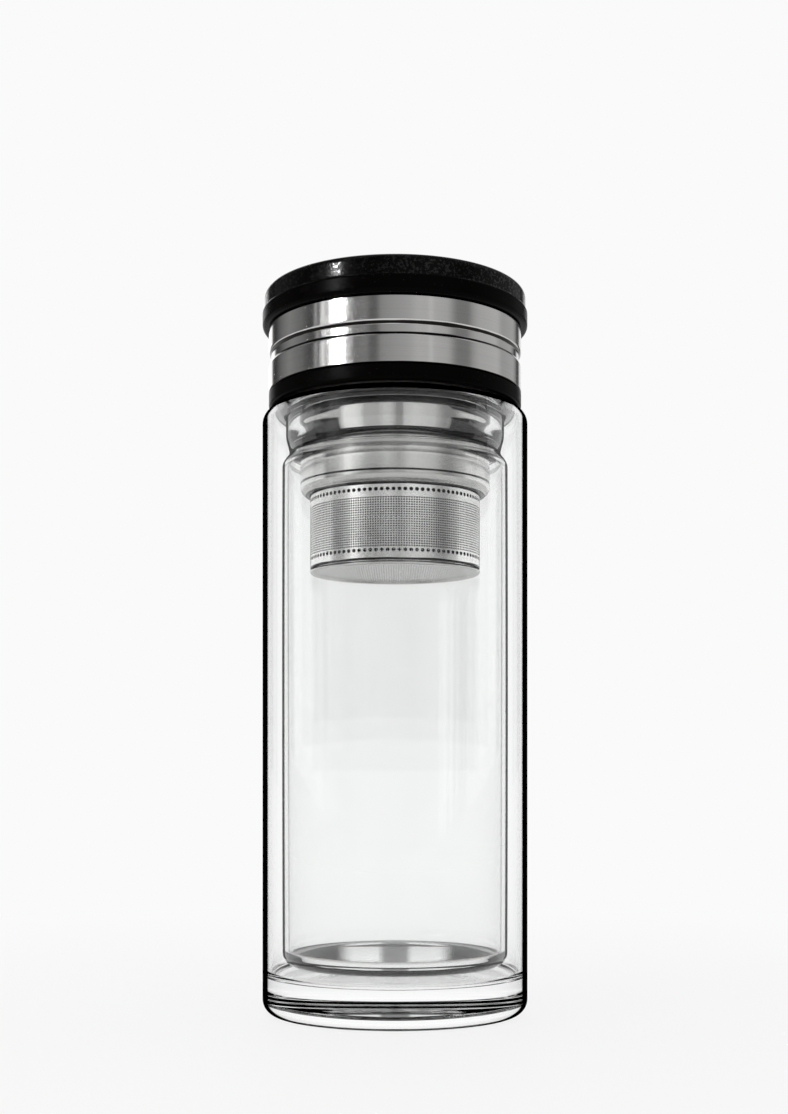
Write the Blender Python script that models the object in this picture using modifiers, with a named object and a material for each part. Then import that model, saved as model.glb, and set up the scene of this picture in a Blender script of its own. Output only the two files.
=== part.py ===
"""Glass tea tumbler: a double-walled glass with a thick base, a hanging steel tea strainer and a screw lid.

Metres, +Z up. The origin is the centre of the underside, so the tumbler stands on the plane z = 0.
The glass is measured up from the underside. The strainer and the lid are measured from the mouth's plane.
"""

import math

import bmesh
import bpy

# Fits and facets
fit_gap = 0.0003            # clearance left between pieces that touch
merge_distance = 0.00001
facets = 36                 # sides of every turned piece
sharp_angle = 38            # degrees
fillet_steps = 2            # straight runs in a small fillet
curve_steps = 4             # straight runs in a large one

# Outer glass
glass_radius = 0.0340
glass_wall = 0.0020
shoulder_height = 0.1544    # top of the glass shoulder, just under the lid
shoulder_fillet = 0.0034
heel_fillet = 0.0040
base_thickness = 0.0098     # solid glass at the bottom
base_fillet = 0.0022        # inside corner between wall and base
foot_width = 0.0065         # flat ring that the tumbler stands on, round a shallow recess
punt_depth = 0.0006

# Inner glass with its throat and mouth
wall_space = 0.0030         # air between the two glass walls
tube_wall = 0.0014
tube_floor = 0.0024
tube_fillet = 0.0034
floor_space = 0.0025        # air between the base and the hanging inner glass
neck_draw = 0.0009          # the neck is this much narrower than the inner tube
neck_wall = 0.0034
waist_draw = 0.0009         # the waist is this much narrower than the neck
neck_height = 0.0146        # mouth above the shoulder
neck_depth = 0.0063         # neck below the shoulder before it draws in
waist_depth = 0.0109        # waist below the shoulder
tube_depth = 0.0147         # full tube below the shoulder
rim_fillet = 0.0011

# Strainer
steel_sheet = 0.0004
collar_clearance = 0.00045  # between the collar and the glass throat
collar_depth = 0.0346       # straight collar below the mouth
step_fillet = 0.00220       # rounded step under the collar
flange_margin = 0.0007      # glass rim left round the flange
flange_bend = 0.0008
seal_thickness = 0.0010
seal_inset = 0.0004         # the seal ring is this much narrower than the flange on each side
sleeve_draw = 0.00253       # the mesh is this much narrower than the collar
sleeve_sheet = 0.0003
sleeve_overlap = 0.0016     # sleeve hidden inside the collar's step
sleeve_drop = 0.0186        # sleeve below the collar's step
pan_lip = 0.0010            # height of the bottom's rolled rim
pan_lip_fillet = 0.0006
pan_lip_width = 0.0016
pan_recess = 0.0004
pan_wall_height = 0.0012

# Perforations of the sleeve
columns = 36
fine_rows = 5
large_hole = 0.0016
fine_hole = 0.0011
large_row_height = 0.0022
fine_row_height = 0.00248

# Lid
lid_gasket_thickness = 0.0015
gasket_inset = 0.0002       # between the gasket's hole and the line of the glass throat
gasket_overhang = 0.0005    # gasket past the neck
plate_overhang = 0.0002     # liner plate past the gasket
plate_sheet = 0.0005
dish_inset = 0.0017         # between the plate's dish and the gasket's hole
plate_dish_depth = 0.0009
thread_room = 0.0013        # between the neck and the lid's inner wall, where the thread is
insert_wall = 0.0015
insert_plate = 0.0020
insert_flange_height = 0.0039
insert_flange_fillet = 0.0009
spigot_height = 0.0021      # ring above the insert's plate that the cap snaps over
spigot_wall = 0.0014
lid_clearance = 0.0004      # between the lid's lower edge and the glass shoulder
band_space = 0.0010         # air between the band and the insert, which the groove bridges
band_sheet = 0.0005
band_height = 0.0160
groove_top_drop = 0.0060    # start of the rolled groove below the band's upper edge
groove_height = 0.0034
groove_depth = 0.0007
cap_wall = 0.0023
cap_lip_width = 0.0005      # the lip stands this much proud of the cap
cap_lip_height = 0.0043
cap_height = 0.0093
cap_top_fillet = 0.0016
cap_lip_fillet = 0.0010
cap_crown = 0.0020          # thickness of the cap's top

# Radii, worked out from the glass inwards and then out to the lid
punt_radius = glass_radius - heel_fillet - foot_width
tube_radius = glass_radius - glass_wall - wall_space
tube_inner_radius = tube_radius - tube_wall
neck_radius = tube_radius - neck_draw
hole_radius = neck_radius + fit_gap
waist_radius = neck_radius - waist_draw
throat_radius = neck_radius - neck_wall
collar_radius = throat_radius - collar_clearance
flange_radius = neck_radius - flange_margin
sleeve_radius = collar_radius - sleeve_draw
gasket_inner_radius = throat_radius + gasket_inset
gasket_outer_radius = neck_radius + gasket_overhang
plate_radius = gasket_outer_radius + plate_overhang
plate_dish_radius = gasket_inner_radius - dish_inset
insert_inner_radius = neck_radius + thread_room
insert_outer_radius = insert_inner_radius + insert_wall
band_radius = insert_outer_radius + band_space + band_sheet
cap_inner_radius = insert_outer_radius + fit_gap
cap_radius = cap_inner_radius + cap_wall
cap_lip_radius = cap_radius + cap_lip_width

# Heights, worked out from the sizes above
mouth_height = shoulder_height + neck_height
tube_bottom = base_thickness + floor_space
flange_underside = seal_thickness + 2 * fit_gap
flange_top = flange_underside + steel_sheet
step_bottom = -collar_depth - step_fillet
sleeve_top = step_bottom + sleeve_overlap
sleeve_bottom = step_bottom - sleeve_drop
gasket_bottom = flange_top + fit_gap
gasket_top = gasket_bottom + lid_gasket_thickness
plate_bottom = gasket_top + fit_gap
plate_top = plate_bottom + plate_sheet
insert_plate_bottom = plate_top + fit_gap
insert_plate_top = insert_plate_bottom + insert_plate
lid_bottom = lid_clearance - neck_height
flange_shelf = lid_bottom + insert_flange_height
band_bottom = flange_shelf + fit_gap
band_top = band_bottom + band_height
cap_bottom = band_top + fit_gap


def arc(centre_x, centre_z, radius, first, last, steps=fillet_steps):
    """Points of a round stretch of an outline, from one angle to another in degrees."""
    points = []
    for i in range(steps + 1):
        turn = math.radians(first + (last - first) * i / steps)
        points.append((centre_x + radius * math.cos(turn), centre_z + radius * math.sin(turn)))
    return points


def ease(start, end, steps=curve_steps - 1):
    """Points of an S-shaped stretch that leaves and arrives upright, without its own two ends."""
    points = []
    for i in range(1, steps):
        share = i / steps
        swing = (1 - math.cos(math.pi * share)) / 2
        points.append((start[0] + (end[0] - start[0]) * swing, start[1] + (end[1] - start[1]) * share))
    return points


def finish(name, colour, roughness, metallic=0.0, transmission=0.0):
    """A Principled material."""
    material = bpy.data.materials.new(name)
    material.use_nodes = True
    shader = material.node_tree.nodes["Principled BSDF"]
    shader.inputs["Base Color"].default_value = (*colour, 1.0)
    shader.inputs["Roughness"].default_value = roughness
    shader.inputs["Metallic"].default_value = metallic
    shader.inputs["Transmission Weight"].default_value = transmission
    material.diffuse_color = (*colour, 1.0)
    return material


def frame_empty(name, height, parent=None):
    """An empty on the axis, which carries the pieces that move together."""
    empty = bpy.data.objects.new(name, None)
    empty.empty_display_size = glass_radius
    parts.objects.link(empty)
    empty.parent = parent
    empty.location = (0, 0, height)
    return empty


def add_piece(name, mesh, material, parent):
    """Links a mesh as a named piece under the empty that carries it."""
    piece = bpy.data.objects.new(name, mesh)
    mesh.materials.append(material)
    parts.objects.link(piece)
    piece.parent = parent
    return piece


def settle(piece):
    """Turns a piece's modifiers into its mesh, and shades it smooth between its sharp edges."""
    depsgraph = bpy.context.evaluated_depsgraph_get()
    mesh = bpy.data.meshes.new_from_object(piece.evaluated_get(depsgraph), depsgraph=depsgraph)
    mesh.name = piece.name
    piece.modifiers.clear()
    piece.data = mesh
    mesh.shade_smooth()
    mesh.set_sharp_from_angle(angle=math.radians(sharp_angle))
    return piece


def turned(name, outline, material, parent, closed=False):
    """A turned piece: an outline in the XZ plane, running down its outer side, spun round Z."""
    edges = [(i, i + 1) for i in range(len(outline) - 1)]
    if closed:
        edges.append((len(outline) - 1, 0))
    mesh = bpy.data.meshes.new(name)
    mesh.from_pydata([(x, 0, z) for x, z in outline], edges, [])
    piece = add_piece(name, mesh, material, parent)
    screw = piece.modifiers.new("Turn", "SCREW")
    screw.axis = "Z"
    screw.steps = facets
    screw.render_steps = facets
    screw.use_merge_vertices = True
    screw.merge_threshold = merge_distance
    return settle(piece)


def outer_glass_shell(material, parent):
    """The outer tube with its shoulder, its rounded heel and the thick base with a shallow punt."""
    inner_radius = glass_radius - glass_wall
    shoulder_x = glass_radius - shoulder_fillet
    shoulder_z = shoulder_height - shoulder_fillet
    outline = [(0, base_thickness)]
    outline += arc(inner_radius - base_fillet, base_thickness + base_fillet, base_fillet, -90, 0)
    outline += arc(shoulder_x, shoulder_z, shoulder_fillet - glass_wall, 0, 90, curve_steps - 1)
    outline += [(hole_radius, shoulder_height - glass_wall), (hole_radius, shoulder_height)]
    outline += arc(shoulder_x, shoulder_z, shoulder_fillet, 90, 0, curve_steps)
    outline += arc(glass_radius - heel_fillet, heel_fillet, heel_fillet, 0, -90, curve_steps)
    outline += [(punt_radius, 0), (punt_radius - 2 * punt_depth, punt_depth), (0, punt_depth)]
    return turned("outer_glass_shell", outline, material, parent)


def inner_glass_cup(material, parent):
    """The inner tube, which draws in at the waist to a thick throat and ends in the mouth."""
    floor = tube_bottom + tube_floor
    inner_fillet = tube_fillet - tube_wall
    tube_top = shoulder_height - tube_depth
    neck_bottom = (neck_radius, shoulder_height - neck_depth)
    waist = (waist_radius, shoulder_height - waist_depth)
    throat_bottom = (throat_radius, waist[1])
    outline = [(0, floor)]
    outline += arc(tube_inner_radius - inner_fillet, floor + inner_fillet, inner_fillet, -90, 0)
    bore_top = (tube_inner_radius, tube_top - tube_wall)
    outline += [bore_top] + ease(bore_top, throat_bottom) + [throat_bottom]
    outline += arc(throat_radius + rim_fillet, mouth_height - rim_fillet, rim_fillet, 180, 90)
    outline += arc(neck_radius - rim_fillet, mouth_height - rim_fillet, rim_fillet, 90, 0)
    outline += [neck_bottom] + ease(neck_bottom, waist) + [waist]
    outline += ease(waist, (tube_radius, tube_top)) + [(tube_radius, tube_top)]
    outline += arc(tube_radius - tube_fillet, tube_bottom + tube_fillet, tube_fillet, 0, -90, curve_steps - 1)
    outline += [(0, tube_bottom)]
    return turned("inner_glass_cup", outline, material, parent)


def strainer_collar(material, parent):
    """The drawn steel collar: a flange at the mouth, a straight ring and a rounded step at its foot."""
    bend_x = collar_radius + flange_bend
    bend_z = flange_underside - flange_bend
    step_x = collar_radius - step_fillet
    lip_radius = sleeve_radius + fit_gap
    outline = [(flange_radius, flange_top), (flange_radius, flange_underside)]
    outline += arc(bend_x, bend_z, flange_bend, 90, 180)
    outline += arc(step_x, -collar_depth, step_fillet, 0, -90, curve_steps - 1)
    outline += [(lip_radius, step_bottom), (lip_radius, step_bottom + steel_sheet)]
    outline += arc(step_x, -collar_depth, step_fillet - steel_sheet, -90, 0, curve_steps - 1)
    outline += arc(bend_x, bend_z, flange_bend + steel_sheet, 180, 90)
    return turned("strainer_collar", outline, material, parent, closed=True)


def strainer_seal_ring(material, parent):
    """The soft ring between the strainer's flange and the glass mouth."""
    inner = collar_radius + flange_bend + seal_inset
    outer = flange_radius - seal_inset
    bottom = fit_gap
    top = fit_gap + seal_thickness
    bulge = seal_thickness / 4
    outline = [(outer - bulge, top), (outer, top - bulge), (outer, bottom + bulge), (outer - bulge, bottom)]
    outline += [(inner, bottom), (inner, top)]
    return turned("strainer_seal_ring", outline, material, parent, closed=True)


def sleeve_rows():
    """Heights of the sleeve's rows of cells from the top down, each with the size of its holes."""
    field = fine_rows * fine_row_height
    visible = sleeve_drop - field - 2 * large_row_height
    margin = visible / 2
    rows = [(sleeve_overlap + margin, 0), (large_row_height, large_hole)]
    rows += [(fine_row_height, fine_hole)] * fine_rows
    rows += [(large_row_height, large_hole), (margin, 0)]
    return rows


def strainer_sleeve(material, parent):
    """The etched sheet: a flat lattice of square holes, rolled to a cylinder and given its thickness."""
    rows = sleeve_rows()
    sheet = bmesh.new()
    bmesh.ops.create_grid(sheet, x_segments=columns, y_segments=len(rows), size=1)
    levels = [sleeve_top]
    for height, hole in rows:
        levels.append(levels[-1] - height)
    length = 2 * math.pi * sleeve_radius
    for vertex in sheet.verts:
        column = round((vertex.co.x + 1) / 2 * columns)
        row = round((1 - vertex.co.y) / 2 * len(rows))
        vertex.co = (length * column / columns, 0, levels[row])
    cells = []
    for face in sheet.faces:
        middle = face.calc_center_median()
        row = next(i for i in range(len(rows)) if levels[i + 1] < middle.z < levels[i])
        if rows[row][1] > 0:
            cells.append((face, rows[row][1]))
    bmesh.ops.inset_individual(sheet, faces=[face for face, hole in cells], thickness=fine_hole / 4)
    for face, hole in cells:
        middle = face.calc_center_median()
        for vertex in face.verts:
            vertex.co.x = middle.x + math.copysign(hole / 2, vertex.co.x - middle.x)
            vertex.co.z = middle.z + math.copysign(hole / 2, vertex.co.z - middle.z)
    bmesh.ops.delete(sheet, geom=[face for face, hole in cells], context="FACES")
    for vertex in sheet.verts:
        turn = vertex.co.x / sleeve_radius
        vertex.co = (sleeve_radius * math.cos(turn), sleeve_radius * math.sin(turn), vertex.co.z)
    bmesh.ops.remove_doubles(sheet, verts=sheet.verts, dist=merge_distance)
    bmesh.ops.recalc_face_normals(sheet, faces=sheet.faces)
    mesh = bpy.data.meshes.new("strainer_sleeve")
    sheet.to_mesh(mesh)
    sheet.free()
    piece = add_piece("strainer_sleeve", mesh, material, parent)
    shell = piece.modifiers.new("Sheet", "SOLIDIFY")
    shell.thickness = sleeve_sheet
    shell.offset = -1
    return settle(piece)


def strainer_bottom(material, parent):
    """The bottom disc: a wall that stands inside the sleeve and a rolled rim flush with it."""
    rim_top = sleeve_bottom - fit_gap
    rim_bottom = rim_top - pan_lip
    wall_outer = sleeve_radius - sleeve_sheet - fit_gap
    wall_inner = wall_outer - steel_sheet
    recess_radius = sleeve_radius - pan_lip_width
    underside = rim_bottom + pan_recess
    floor = underside + steel_sheet
    wall_top = sleeve_bottom + pan_wall_height
    outline = [(0, floor), (wall_inner, floor), (wall_inner, wall_top), (wall_outer, wall_top)]
    outline += [(wall_outer, rim_top), (sleeve_radius, rim_top)]
    outline += arc(sleeve_radius - pan_lip_fillet, rim_bottom + pan_lip_fillet, pan_lip_fillet, 0, -90)
    outline += [(recess_radius, rim_bottom), (recess_radius - pan_recess, underside), (0, underside)]
    return turned("strainer_bottom", outline, material, parent)


def lid_gasket(material, parent):
    """The soft ring that closes the lid on the strainer's flange."""
    bulge = lid_gasket_thickness / 4
    outline = [(gasket_outer_radius - bulge, gasket_top), (gasket_outer_radius, gasket_top - bulge)]
    outline += [(gasket_outer_radius, gasket_bottom + bulge), (gasket_outer_radius - bulge, gasket_bottom)]
    outline += [(gasket_inner_radius, gasket_bottom), (gasket_inner_radius, gasket_top)]
    return turned("lid_gasket", outline, material, parent, closed=True)


def lid_liner_plate(material, parent):
    """The steel plate that faces the drink, dished down inside the gasket."""
    foot_radius = plate_dish_radius - plate_dish_depth
    outline = [(0, plate_top - plate_dish_depth), (foot_radius, plate_top - plate_dish_depth)]
    outline += [(plate_dish_radius, plate_top), (plate_radius, plate_top), (plate_radius, plate_bottom)]
    outline += [(plate_dish_radius, plate_bottom), (foot_radius, plate_bottom - plate_dish_depth)]
    outline += [(0, plate_bottom - plate_dish_depth)]
    return turned("lid_liner_plate", outline, material, parent)


def lid_thread_insert(material, parent):
    """The moulded inner part: plate, threaded wall, the flange that shows as the lower ring, and the spigot."""
    spigot_top = insert_plate_top + spigot_height
    spigot_inner = insert_outer_radius - spigot_wall
    outline = [(0, insert_plate_top), (spigot_inner, insert_plate_top), (spigot_inner, spigot_top)]
    outline += [(insert_outer_radius, spigot_top), (insert_outer_radius, flange_shelf)]
    outline += [(band_radius, flange_shelf)]
    fillet_x = band_radius - insert_flange_fillet
    outline += arc(fillet_x, lid_bottom + insert_flange_fillet, insert_flange_fillet, 0, -90)
    outline += [(insert_inner_radius, lid_bottom), (insert_inner_radius, insert_plate_bottom)]
    outline += [(0, insert_plate_bottom)]
    return turned("lid_thread_insert", outline, material, parent)


def band_face(radius):
    """One face of the rolled band from the top down, with its groove drawn in by the same depth."""
    groove_top = band_top - groove_top_drop
    groove_bottom = groove_top - groove_height
    side = groove_depth / 2
    outline = [(radius, band_top), (radius, groove_top)]
    outline += [(radius - groove_depth, groove_top - side), (radius - groove_depth, groove_bottom + side)]
    outline += [(radius, groove_bottom), (radius, band_bottom)]
    return outline


def lid_steel_band(material, parent):
    """The brushed band, rolled from sheet, whose groove grips the insert's wall."""
    outline = band_face(band_radius) + band_face(band_radius - band_sheet)[::-1]
    return turned("lid_steel_band", outline, material, parent, closed=True)


def lid_top_cap(material, parent):
    """The cap: a shallow shell with a wider lip round its foot, snapped over the spigot."""
    top = cap_bottom + cap_height
    lip_top = cap_bottom + cap_lip_height
    ledge = cap_lip_radius - cap_radius
    outline = [(0, top)]
    outline += arc(cap_radius - cap_top_fillet, top - cap_top_fillet, cap_top_fillet, 90, 0, curve_steps - 1)
    outline += [(cap_radius, lip_top), (cap_lip_radius, lip_top - ledge)]
    outline += arc(cap_lip_radius - cap_lip_fillet, cap_bottom + cap_lip_fillet, cap_lip_fillet, 0, -90)
    outline += [(cap_inner_radius, cap_bottom), (cap_inner_radius, top - cap_crown), (0, top - cap_crown)]
    return turned("lid_top_cap", outline, material, parent)


def clear_scene():
    """Removes every object of the open scene."""
    for old in list(bpy.data.objects):
        bpy.data.objects.remove(old, do_unlink=True)


clear_scene()
parts = bpy.data.collections.new("glass_tea_tumbler")
bpy.context.scene.collection.children.link(parts)

clear_glass = finish("clear_glass", (0.93, 0.96, 0.95), 0.02, transmission=1.0)
strainer_steel = finish("strainer_steel", (0.62, 0.62, 0.61), 0.28, metallic=1.0)
brushed_steel = finish("brushed_steel", (0.50, 0.50, 0.49), 0.32, metallic=1.0)
black_plastic = finish("black_gloss_plastic", (0.012, 0.011, 0.011), 0.18)
black_inner = finish("black_satin_plastic", (0.014, 0.013, 0.013), 0.35)
silicone = finish("silicone", (0.80, 0.80, 0.78), 0.55)

tumbler = frame_empty("tumbler_frame", 0)
strainer = frame_empty("strainer_frame", mouth_height, tumbler)
lid = frame_empty("lid_frame", 0, strainer)

outer_glass_shell(clear_glass, tumbler)
inner_glass_cup(clear_glass, tumbler)
strainer_collar(strainer_steel, strainer)
strainer_seal_ring(silicone, strainer)
strainer_sleeve(strainer_steel, strainer)
strainer_bottom(strainer_steel, strainer)
lid_gasket(silicone, lid)
lid_liner_plate(strainer_steel, lid)
lid_thread_insert(black_inner, lid)
lid_steel_band(brushed_steel, lid)
lid_top_cap(black_plastic, lid)
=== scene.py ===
import math
import bpy
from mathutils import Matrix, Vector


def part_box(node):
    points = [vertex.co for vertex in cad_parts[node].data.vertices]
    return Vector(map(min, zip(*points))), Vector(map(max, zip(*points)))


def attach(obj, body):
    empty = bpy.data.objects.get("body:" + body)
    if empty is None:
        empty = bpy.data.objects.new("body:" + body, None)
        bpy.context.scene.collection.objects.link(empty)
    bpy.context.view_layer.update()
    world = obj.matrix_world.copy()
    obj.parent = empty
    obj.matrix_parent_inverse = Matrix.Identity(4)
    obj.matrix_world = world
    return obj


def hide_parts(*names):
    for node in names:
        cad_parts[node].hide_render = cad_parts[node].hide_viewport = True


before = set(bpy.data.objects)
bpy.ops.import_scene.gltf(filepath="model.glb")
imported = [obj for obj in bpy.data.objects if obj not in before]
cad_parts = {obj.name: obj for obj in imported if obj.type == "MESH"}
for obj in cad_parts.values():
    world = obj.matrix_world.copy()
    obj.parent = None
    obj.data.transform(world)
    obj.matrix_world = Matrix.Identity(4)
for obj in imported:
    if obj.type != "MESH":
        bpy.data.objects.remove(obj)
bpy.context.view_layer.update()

bpy.ops.object.select_all(action="DESELECT")


def deselectAll():
    bpy.ops.object.select_all(action="DESELECT")


def setMode(mode):
    bpy.ops.object.mode_set(mode=mode)


mm = 0.001
fullTurn = 2 * math.pi
mergeDistance = 0.000002

# Camera
photoCamera = {
    "frameHeight": 1114,        # pixels
    "frameWidth": 788,
    "focalLength": 1552,        # pixels
    "horizonRow": 787,
    "axisColumn": 395.0,
    "distance": 400 * mm,       # from the tumbler's axis
    "height": 58.2 * mm,
    "sensor": 36.0,
}


def addCamera(cam):
    bpy.ops.object.camera_add(location=(0, -cam["distance"], cam["height"]), rotation=(math.pi / 2, 0, 0))
    camera = bpy.context.object
    camera.name = "photoCamera"
    camera.data.sensor_width = cam["sensor"]
    camera.data.lens = cam["sensor"] * cam["focalLength"] / cam["frameHeight"]
    camera.data.shift_x = (cam["frameWidth"] / 2 - cam["axisColumn"]) / cam["frameHeight"]
    camera.data.shift_y = (cam["horizonRow"] - cam["frameHeight"] / 2) / cam["frameHeight"]
    camera.data.clip_start = 0.01
    bpy.context.scene.camera = camera
    deselectAll()


addCamera(photoCamera)
print("camera placed")


# Outlines and turning
def swingShare(share):
    # 0 to 1 with a level start and a level end
    return (1 - math.cos(math.pi * share)) / 2


def arcPoints(centreX, centreZ, radius, first, last, runs, height=None):
    # an arc in degrees, both ends included; with a height of its own it is part of an oval
    points = []
    for i in range(runs + 1):
        turn = math.radians(first + (last - first) * i / runs)
        points.append((centreX + radius * math.cos(turn), centreZ + (height or radius) * math.sin(turn)))
    return points


def straightPoints(start, end, runs, eased=False):
    # evenly spaced points between two others, which are left out; eased gives an S between upright walls
    points = []
    for i in range(1, runs):
        share = i / runs
        swing = swingShare(share) if eased else share
        points.append((start[0] + (end[0] - start[0]) * swing, start[1] + (end[1] - start[1]) * share))
    return points


def easePoints(start, end, runs):
    return straightPoints(start, end, runs, eased=True)


def wallPoints(start, end, hold=0.12 * mm):
    # a flat wall, held straight by a point close to each of its two ends, which are included
    length = math.hypot(end[0] - start[0], end[1] - start[1])
    share = hold / length
    near = (start[0] + (end[0] - start[0]) * share, start[1] + (end[1] - start[1]) * share)
    far = (end[0] + (start[0] - end[0]) * share, end[1] + (start[1] - end[1]) * share)
    return [start, near, far, end]


def turnOutline(name, outline, turns, sharpAngle=30):
    # one vertex is extruded from point to point, and the wire is spun round the axis
    bpy.ops.mesh.primitive_plane_add(size=mm, location=(outline[0][0], 0, outline[0][1]))
    piece = bpy.context.object
    piece.name = name
    piece.data.name = name
    setMode("EDIT")
    bpy.ops.mesh.select_mode(type="VERT")
    bpy.ops.mesh.select_all(action="SELECT")
    bpy.ops.mesh.merge(type="CENTER")
    for before, after in zip(outline, outline[1:]):
        step = (after[0] - before[0], 0, after[1] - before[1])
        bpy.ops.mesh.extrude_region_move(TRANSFORM_OT_translate={"value": step})
    bpy.ops.mesh.select_all(action="SELECT")
    bpy.ops.mesh.spin(steps=turns, angle=fullTurn, center=(0, 0, 0), axis=(0, 0, 1))
    bpy.ops.mesh.select_all(action="SELECT")
    bpy.ops.mesh.remove_doubles(threshold=mergeDistance)
    bpy.ops.mesh.normals_make_consistent(inside=False)
    setMode("OBJECT")
    bpy.ops.object.transform_apply(location=True, rotation=True, scale=True)
    bpy.ops.object.shade_smooth_by_angle(angle=math.radians(sharpAngle))
    deselectAll()
    return piece


def joinPieces(piece, *others):
    bpy.context.view_layer.objects.active = piece
    for part in (piece, *others):
        part.select_set(True)
    bpy.ops.object.join()


def clearSelection(piece):
    for group in (piece.data.vertices, piece.data.edges, piece.data.polygons):
        group.foreach_set("select", [False] * len(group))


def thicken(piece, thickness, side):
    shell = piece.modifiers.new("sheet", "SOLIDIFY")
    shell.thickness = thickness
    shell.offset = side
    bpy.ops.object.modifier_apply(modifier="sheet")


def raiseThread(piece, thread, side):
    # lifts a helical ridge out of a turned wall: side is 1 for an outer wall and -1 for an inner one
    for vertex in piece.data.vertices:
        radius = math.hypot(vertex.co.x, vertex.co.y)
        if abs(radius - thread["wallRadius"]) > thread["pick"]:
            continue
        around = math.atan2(vertex.co.y, vertex.co.x) % fullTurn
        lift = 0
        for lap in range(math.ceil(thread["laps"]) + 1):
            along = around / fullTurn + lap
            ends = min(along, thread["laps"] - along) / thread["taper"]
            if ends <= 0:
                continue
            away = abs(vertex.co.z - thread["start"] - thread["pitch"] * along) / thread["halfWidth"]
            if away < 1:
                lift = max(lift, min(ends, 1) * thread["height"] * (1 - away ** 2) ** 1.5)
        if lift > 0:
            vertex.co.x *= (radius + side * lift) / radius
            vertex.co.y *= (radius + side * lift) / radius


def finishPiece(piece, body, slot, material, *nodes):
    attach(piece, body)
    if nodes:
        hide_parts(*nodes)
    piece.data.materials.clear()
    piece.data.materials.append(material)
    print(piece.name, "has", len(piece.data.polygons), "faces")


def splitFinish(piece, finishes, choose):
    # gives each face the finish whose number choose() returns: 0 is the piece's own
    for finish in finishes:
        piece.data.materials.append(finish)
    for face in piece.data.polygons:
        face.material_index = choose(face)


# Shader helpers
def newGroup(name, inputs, outputs):
    group = bpy.data.node_groups.new(name, "ShaderNodeTree")
    for label, kind, value in inputs:
        socket = group.interface.new_socket(label, in_out="INPUT", socket_type=kind)
        socket.default_value = value
    for label, kind in outputs:
        group.interface.new_socket(label, in_out="OUTPUT", socket_type=kind)
    entry = group.nodes.new("NodeGroupInput")
    result = group.nodes.new("NodeGroupOutput")
    return group, entry, result


def addNode(tree, kind, settings=None, **inputs):
    node = tree.nodes.new(kind)
    for key, value in (settings or {}).items():
        setattr(node, key, value)
    for key, value in inputs.items():
        socket = node.inputs[int(key[1:])] if key[0] == "i" and key[1:].isdigit() else node.inputs[key]
        if isinstance(value, bpy.types.NodeSocket):
            tree.links.new(value, socket)
        else:
            socket.default_value = value
    return node


def mathNode(tree, operation, first, second=0.0, third=0.0):
    return addNode(tree, "ShaderNodeMath", {"operation": operation}, i0=first, i1=second, i2=third).outputs[0]


def rampNode(tree, factor, stops):
    ramp = tree.nodes.new("ShaderNodeValToRGB")
    elements = ramp.color_ramp.elements
    while len(elements) < len(stops):
        elements.new(0.5)
    for element, (place, level) in zip(elements, stops):
        element.position = place
        element.color = (level, level, level, 1) if isinstance(level, (int, float)) else (*level, 1)
    tree.links.new(factor, ramp.inputs["Fac"])
    return ramp.outputs["Color"]


def spanMask(tree, value, start, end, smooth=False, low=0.0):
    # the low value before the start and 1 past the end; the end may be the lower of the two
    settings = {"interpolation_type": "SMOOTHSTEP"} if smooth else None
    sockets = {"Value": value, "From Min": start, "From Max": end, "To Min": low}
    return addNode(tree, "ShaderNodeMapRange", settings, **sockets).outputs["Result"]


def objectPlace(tree):
    return addNode(tree, "ShaderNodeTexCoord").outputs["Object"]


def noise(tree, place, scale, detail, **more):
    node = addNode(tree, "ShaderNodeTexNoise", Vector=place, Scale=scale, Detail=detail, **more)
    return node.outputs["Fac"]


def product(tree, first, *others):
    for other in others:
        first = mathNode(tree, "MULTIPLY", first, other)
    return first


def feed(tree, node, sockets):
    # plugs values or other nodes' outputs into a node's sockets
    for name, value in sockets.items():
        if isinstance(value, bpy.types.NodeSocket):
            tree.links.new(value, node.inputs[name])
        else:
            node.inputs[name].default_value = value


def mixToSurface(tree, factor, first, second):
    mix = addNode(tree, "ShaderNodeMixShader", Fac=factor)
    tree.links.new(first, mix.inputs[1])
    tree.links.new(second, mix.inputs[2])
    tree.links.new(mix.outputs["Shader"], tree.nodes["Material Output"].inputs["Surface"])


grain = {
    "fineShare": 0.65,          # of fine brushed lines, against broad ones
    "broadScale": (0.37, 0.37, 0.13),
    "lineStep": 0.02 * mm,
    "markEdge": (0.46, 0.72),   # noise at which a finger mark begins and is full
    "dustScale": 900.0,
    "dustEdge": (0.10, 0.04),   # distance from a speck's middle at which it begins and is full
}


def makeBrushedGroup(g):
    # fine lines left by brushing: the scale is small along the lines and large across them
    group, entry, result = newGroup(
        "brushedLines",
        [("Line Scale", "NodeSocketVector", (30, 30, 9000)), ("Depth", "NodeSocketFloat", 0.3)],
        [("Tone", "NodeSocketFloat"), ("Normal", "NodeSocketVector")])
    mapped = addNode(group, "ShaderNodeMapping", Vector=objectPlace(group),
                     Scale=entry.outputs["Line Scale"]).outputs["Vector"]
    fine = noise(group, mapped, 1.0, 3.0, Roughness=0.6)
    wide = addNode(group, "ShaderNodeMapping", Vector=mapped, Scale=g["broadScale"]).outputs["Vector"]
    broad = mathNode(group, "MULTIPLY", noise(group, wide, 1.0, 1.0), 1 - g["fineShare"])
    tone = mathNode(group, "MULTIPLY_ADD", fine, g["fineShare"], broad)
    bump = addNode(group, "ShaderNodeBump", Height=tone, Strength=entry.outputs["Depth"],
                   Distance=g["lineStep"])
    feed(group, result, {"Tone": tone, "Normal": bump.outputs["Normal"]})
    return group


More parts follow.
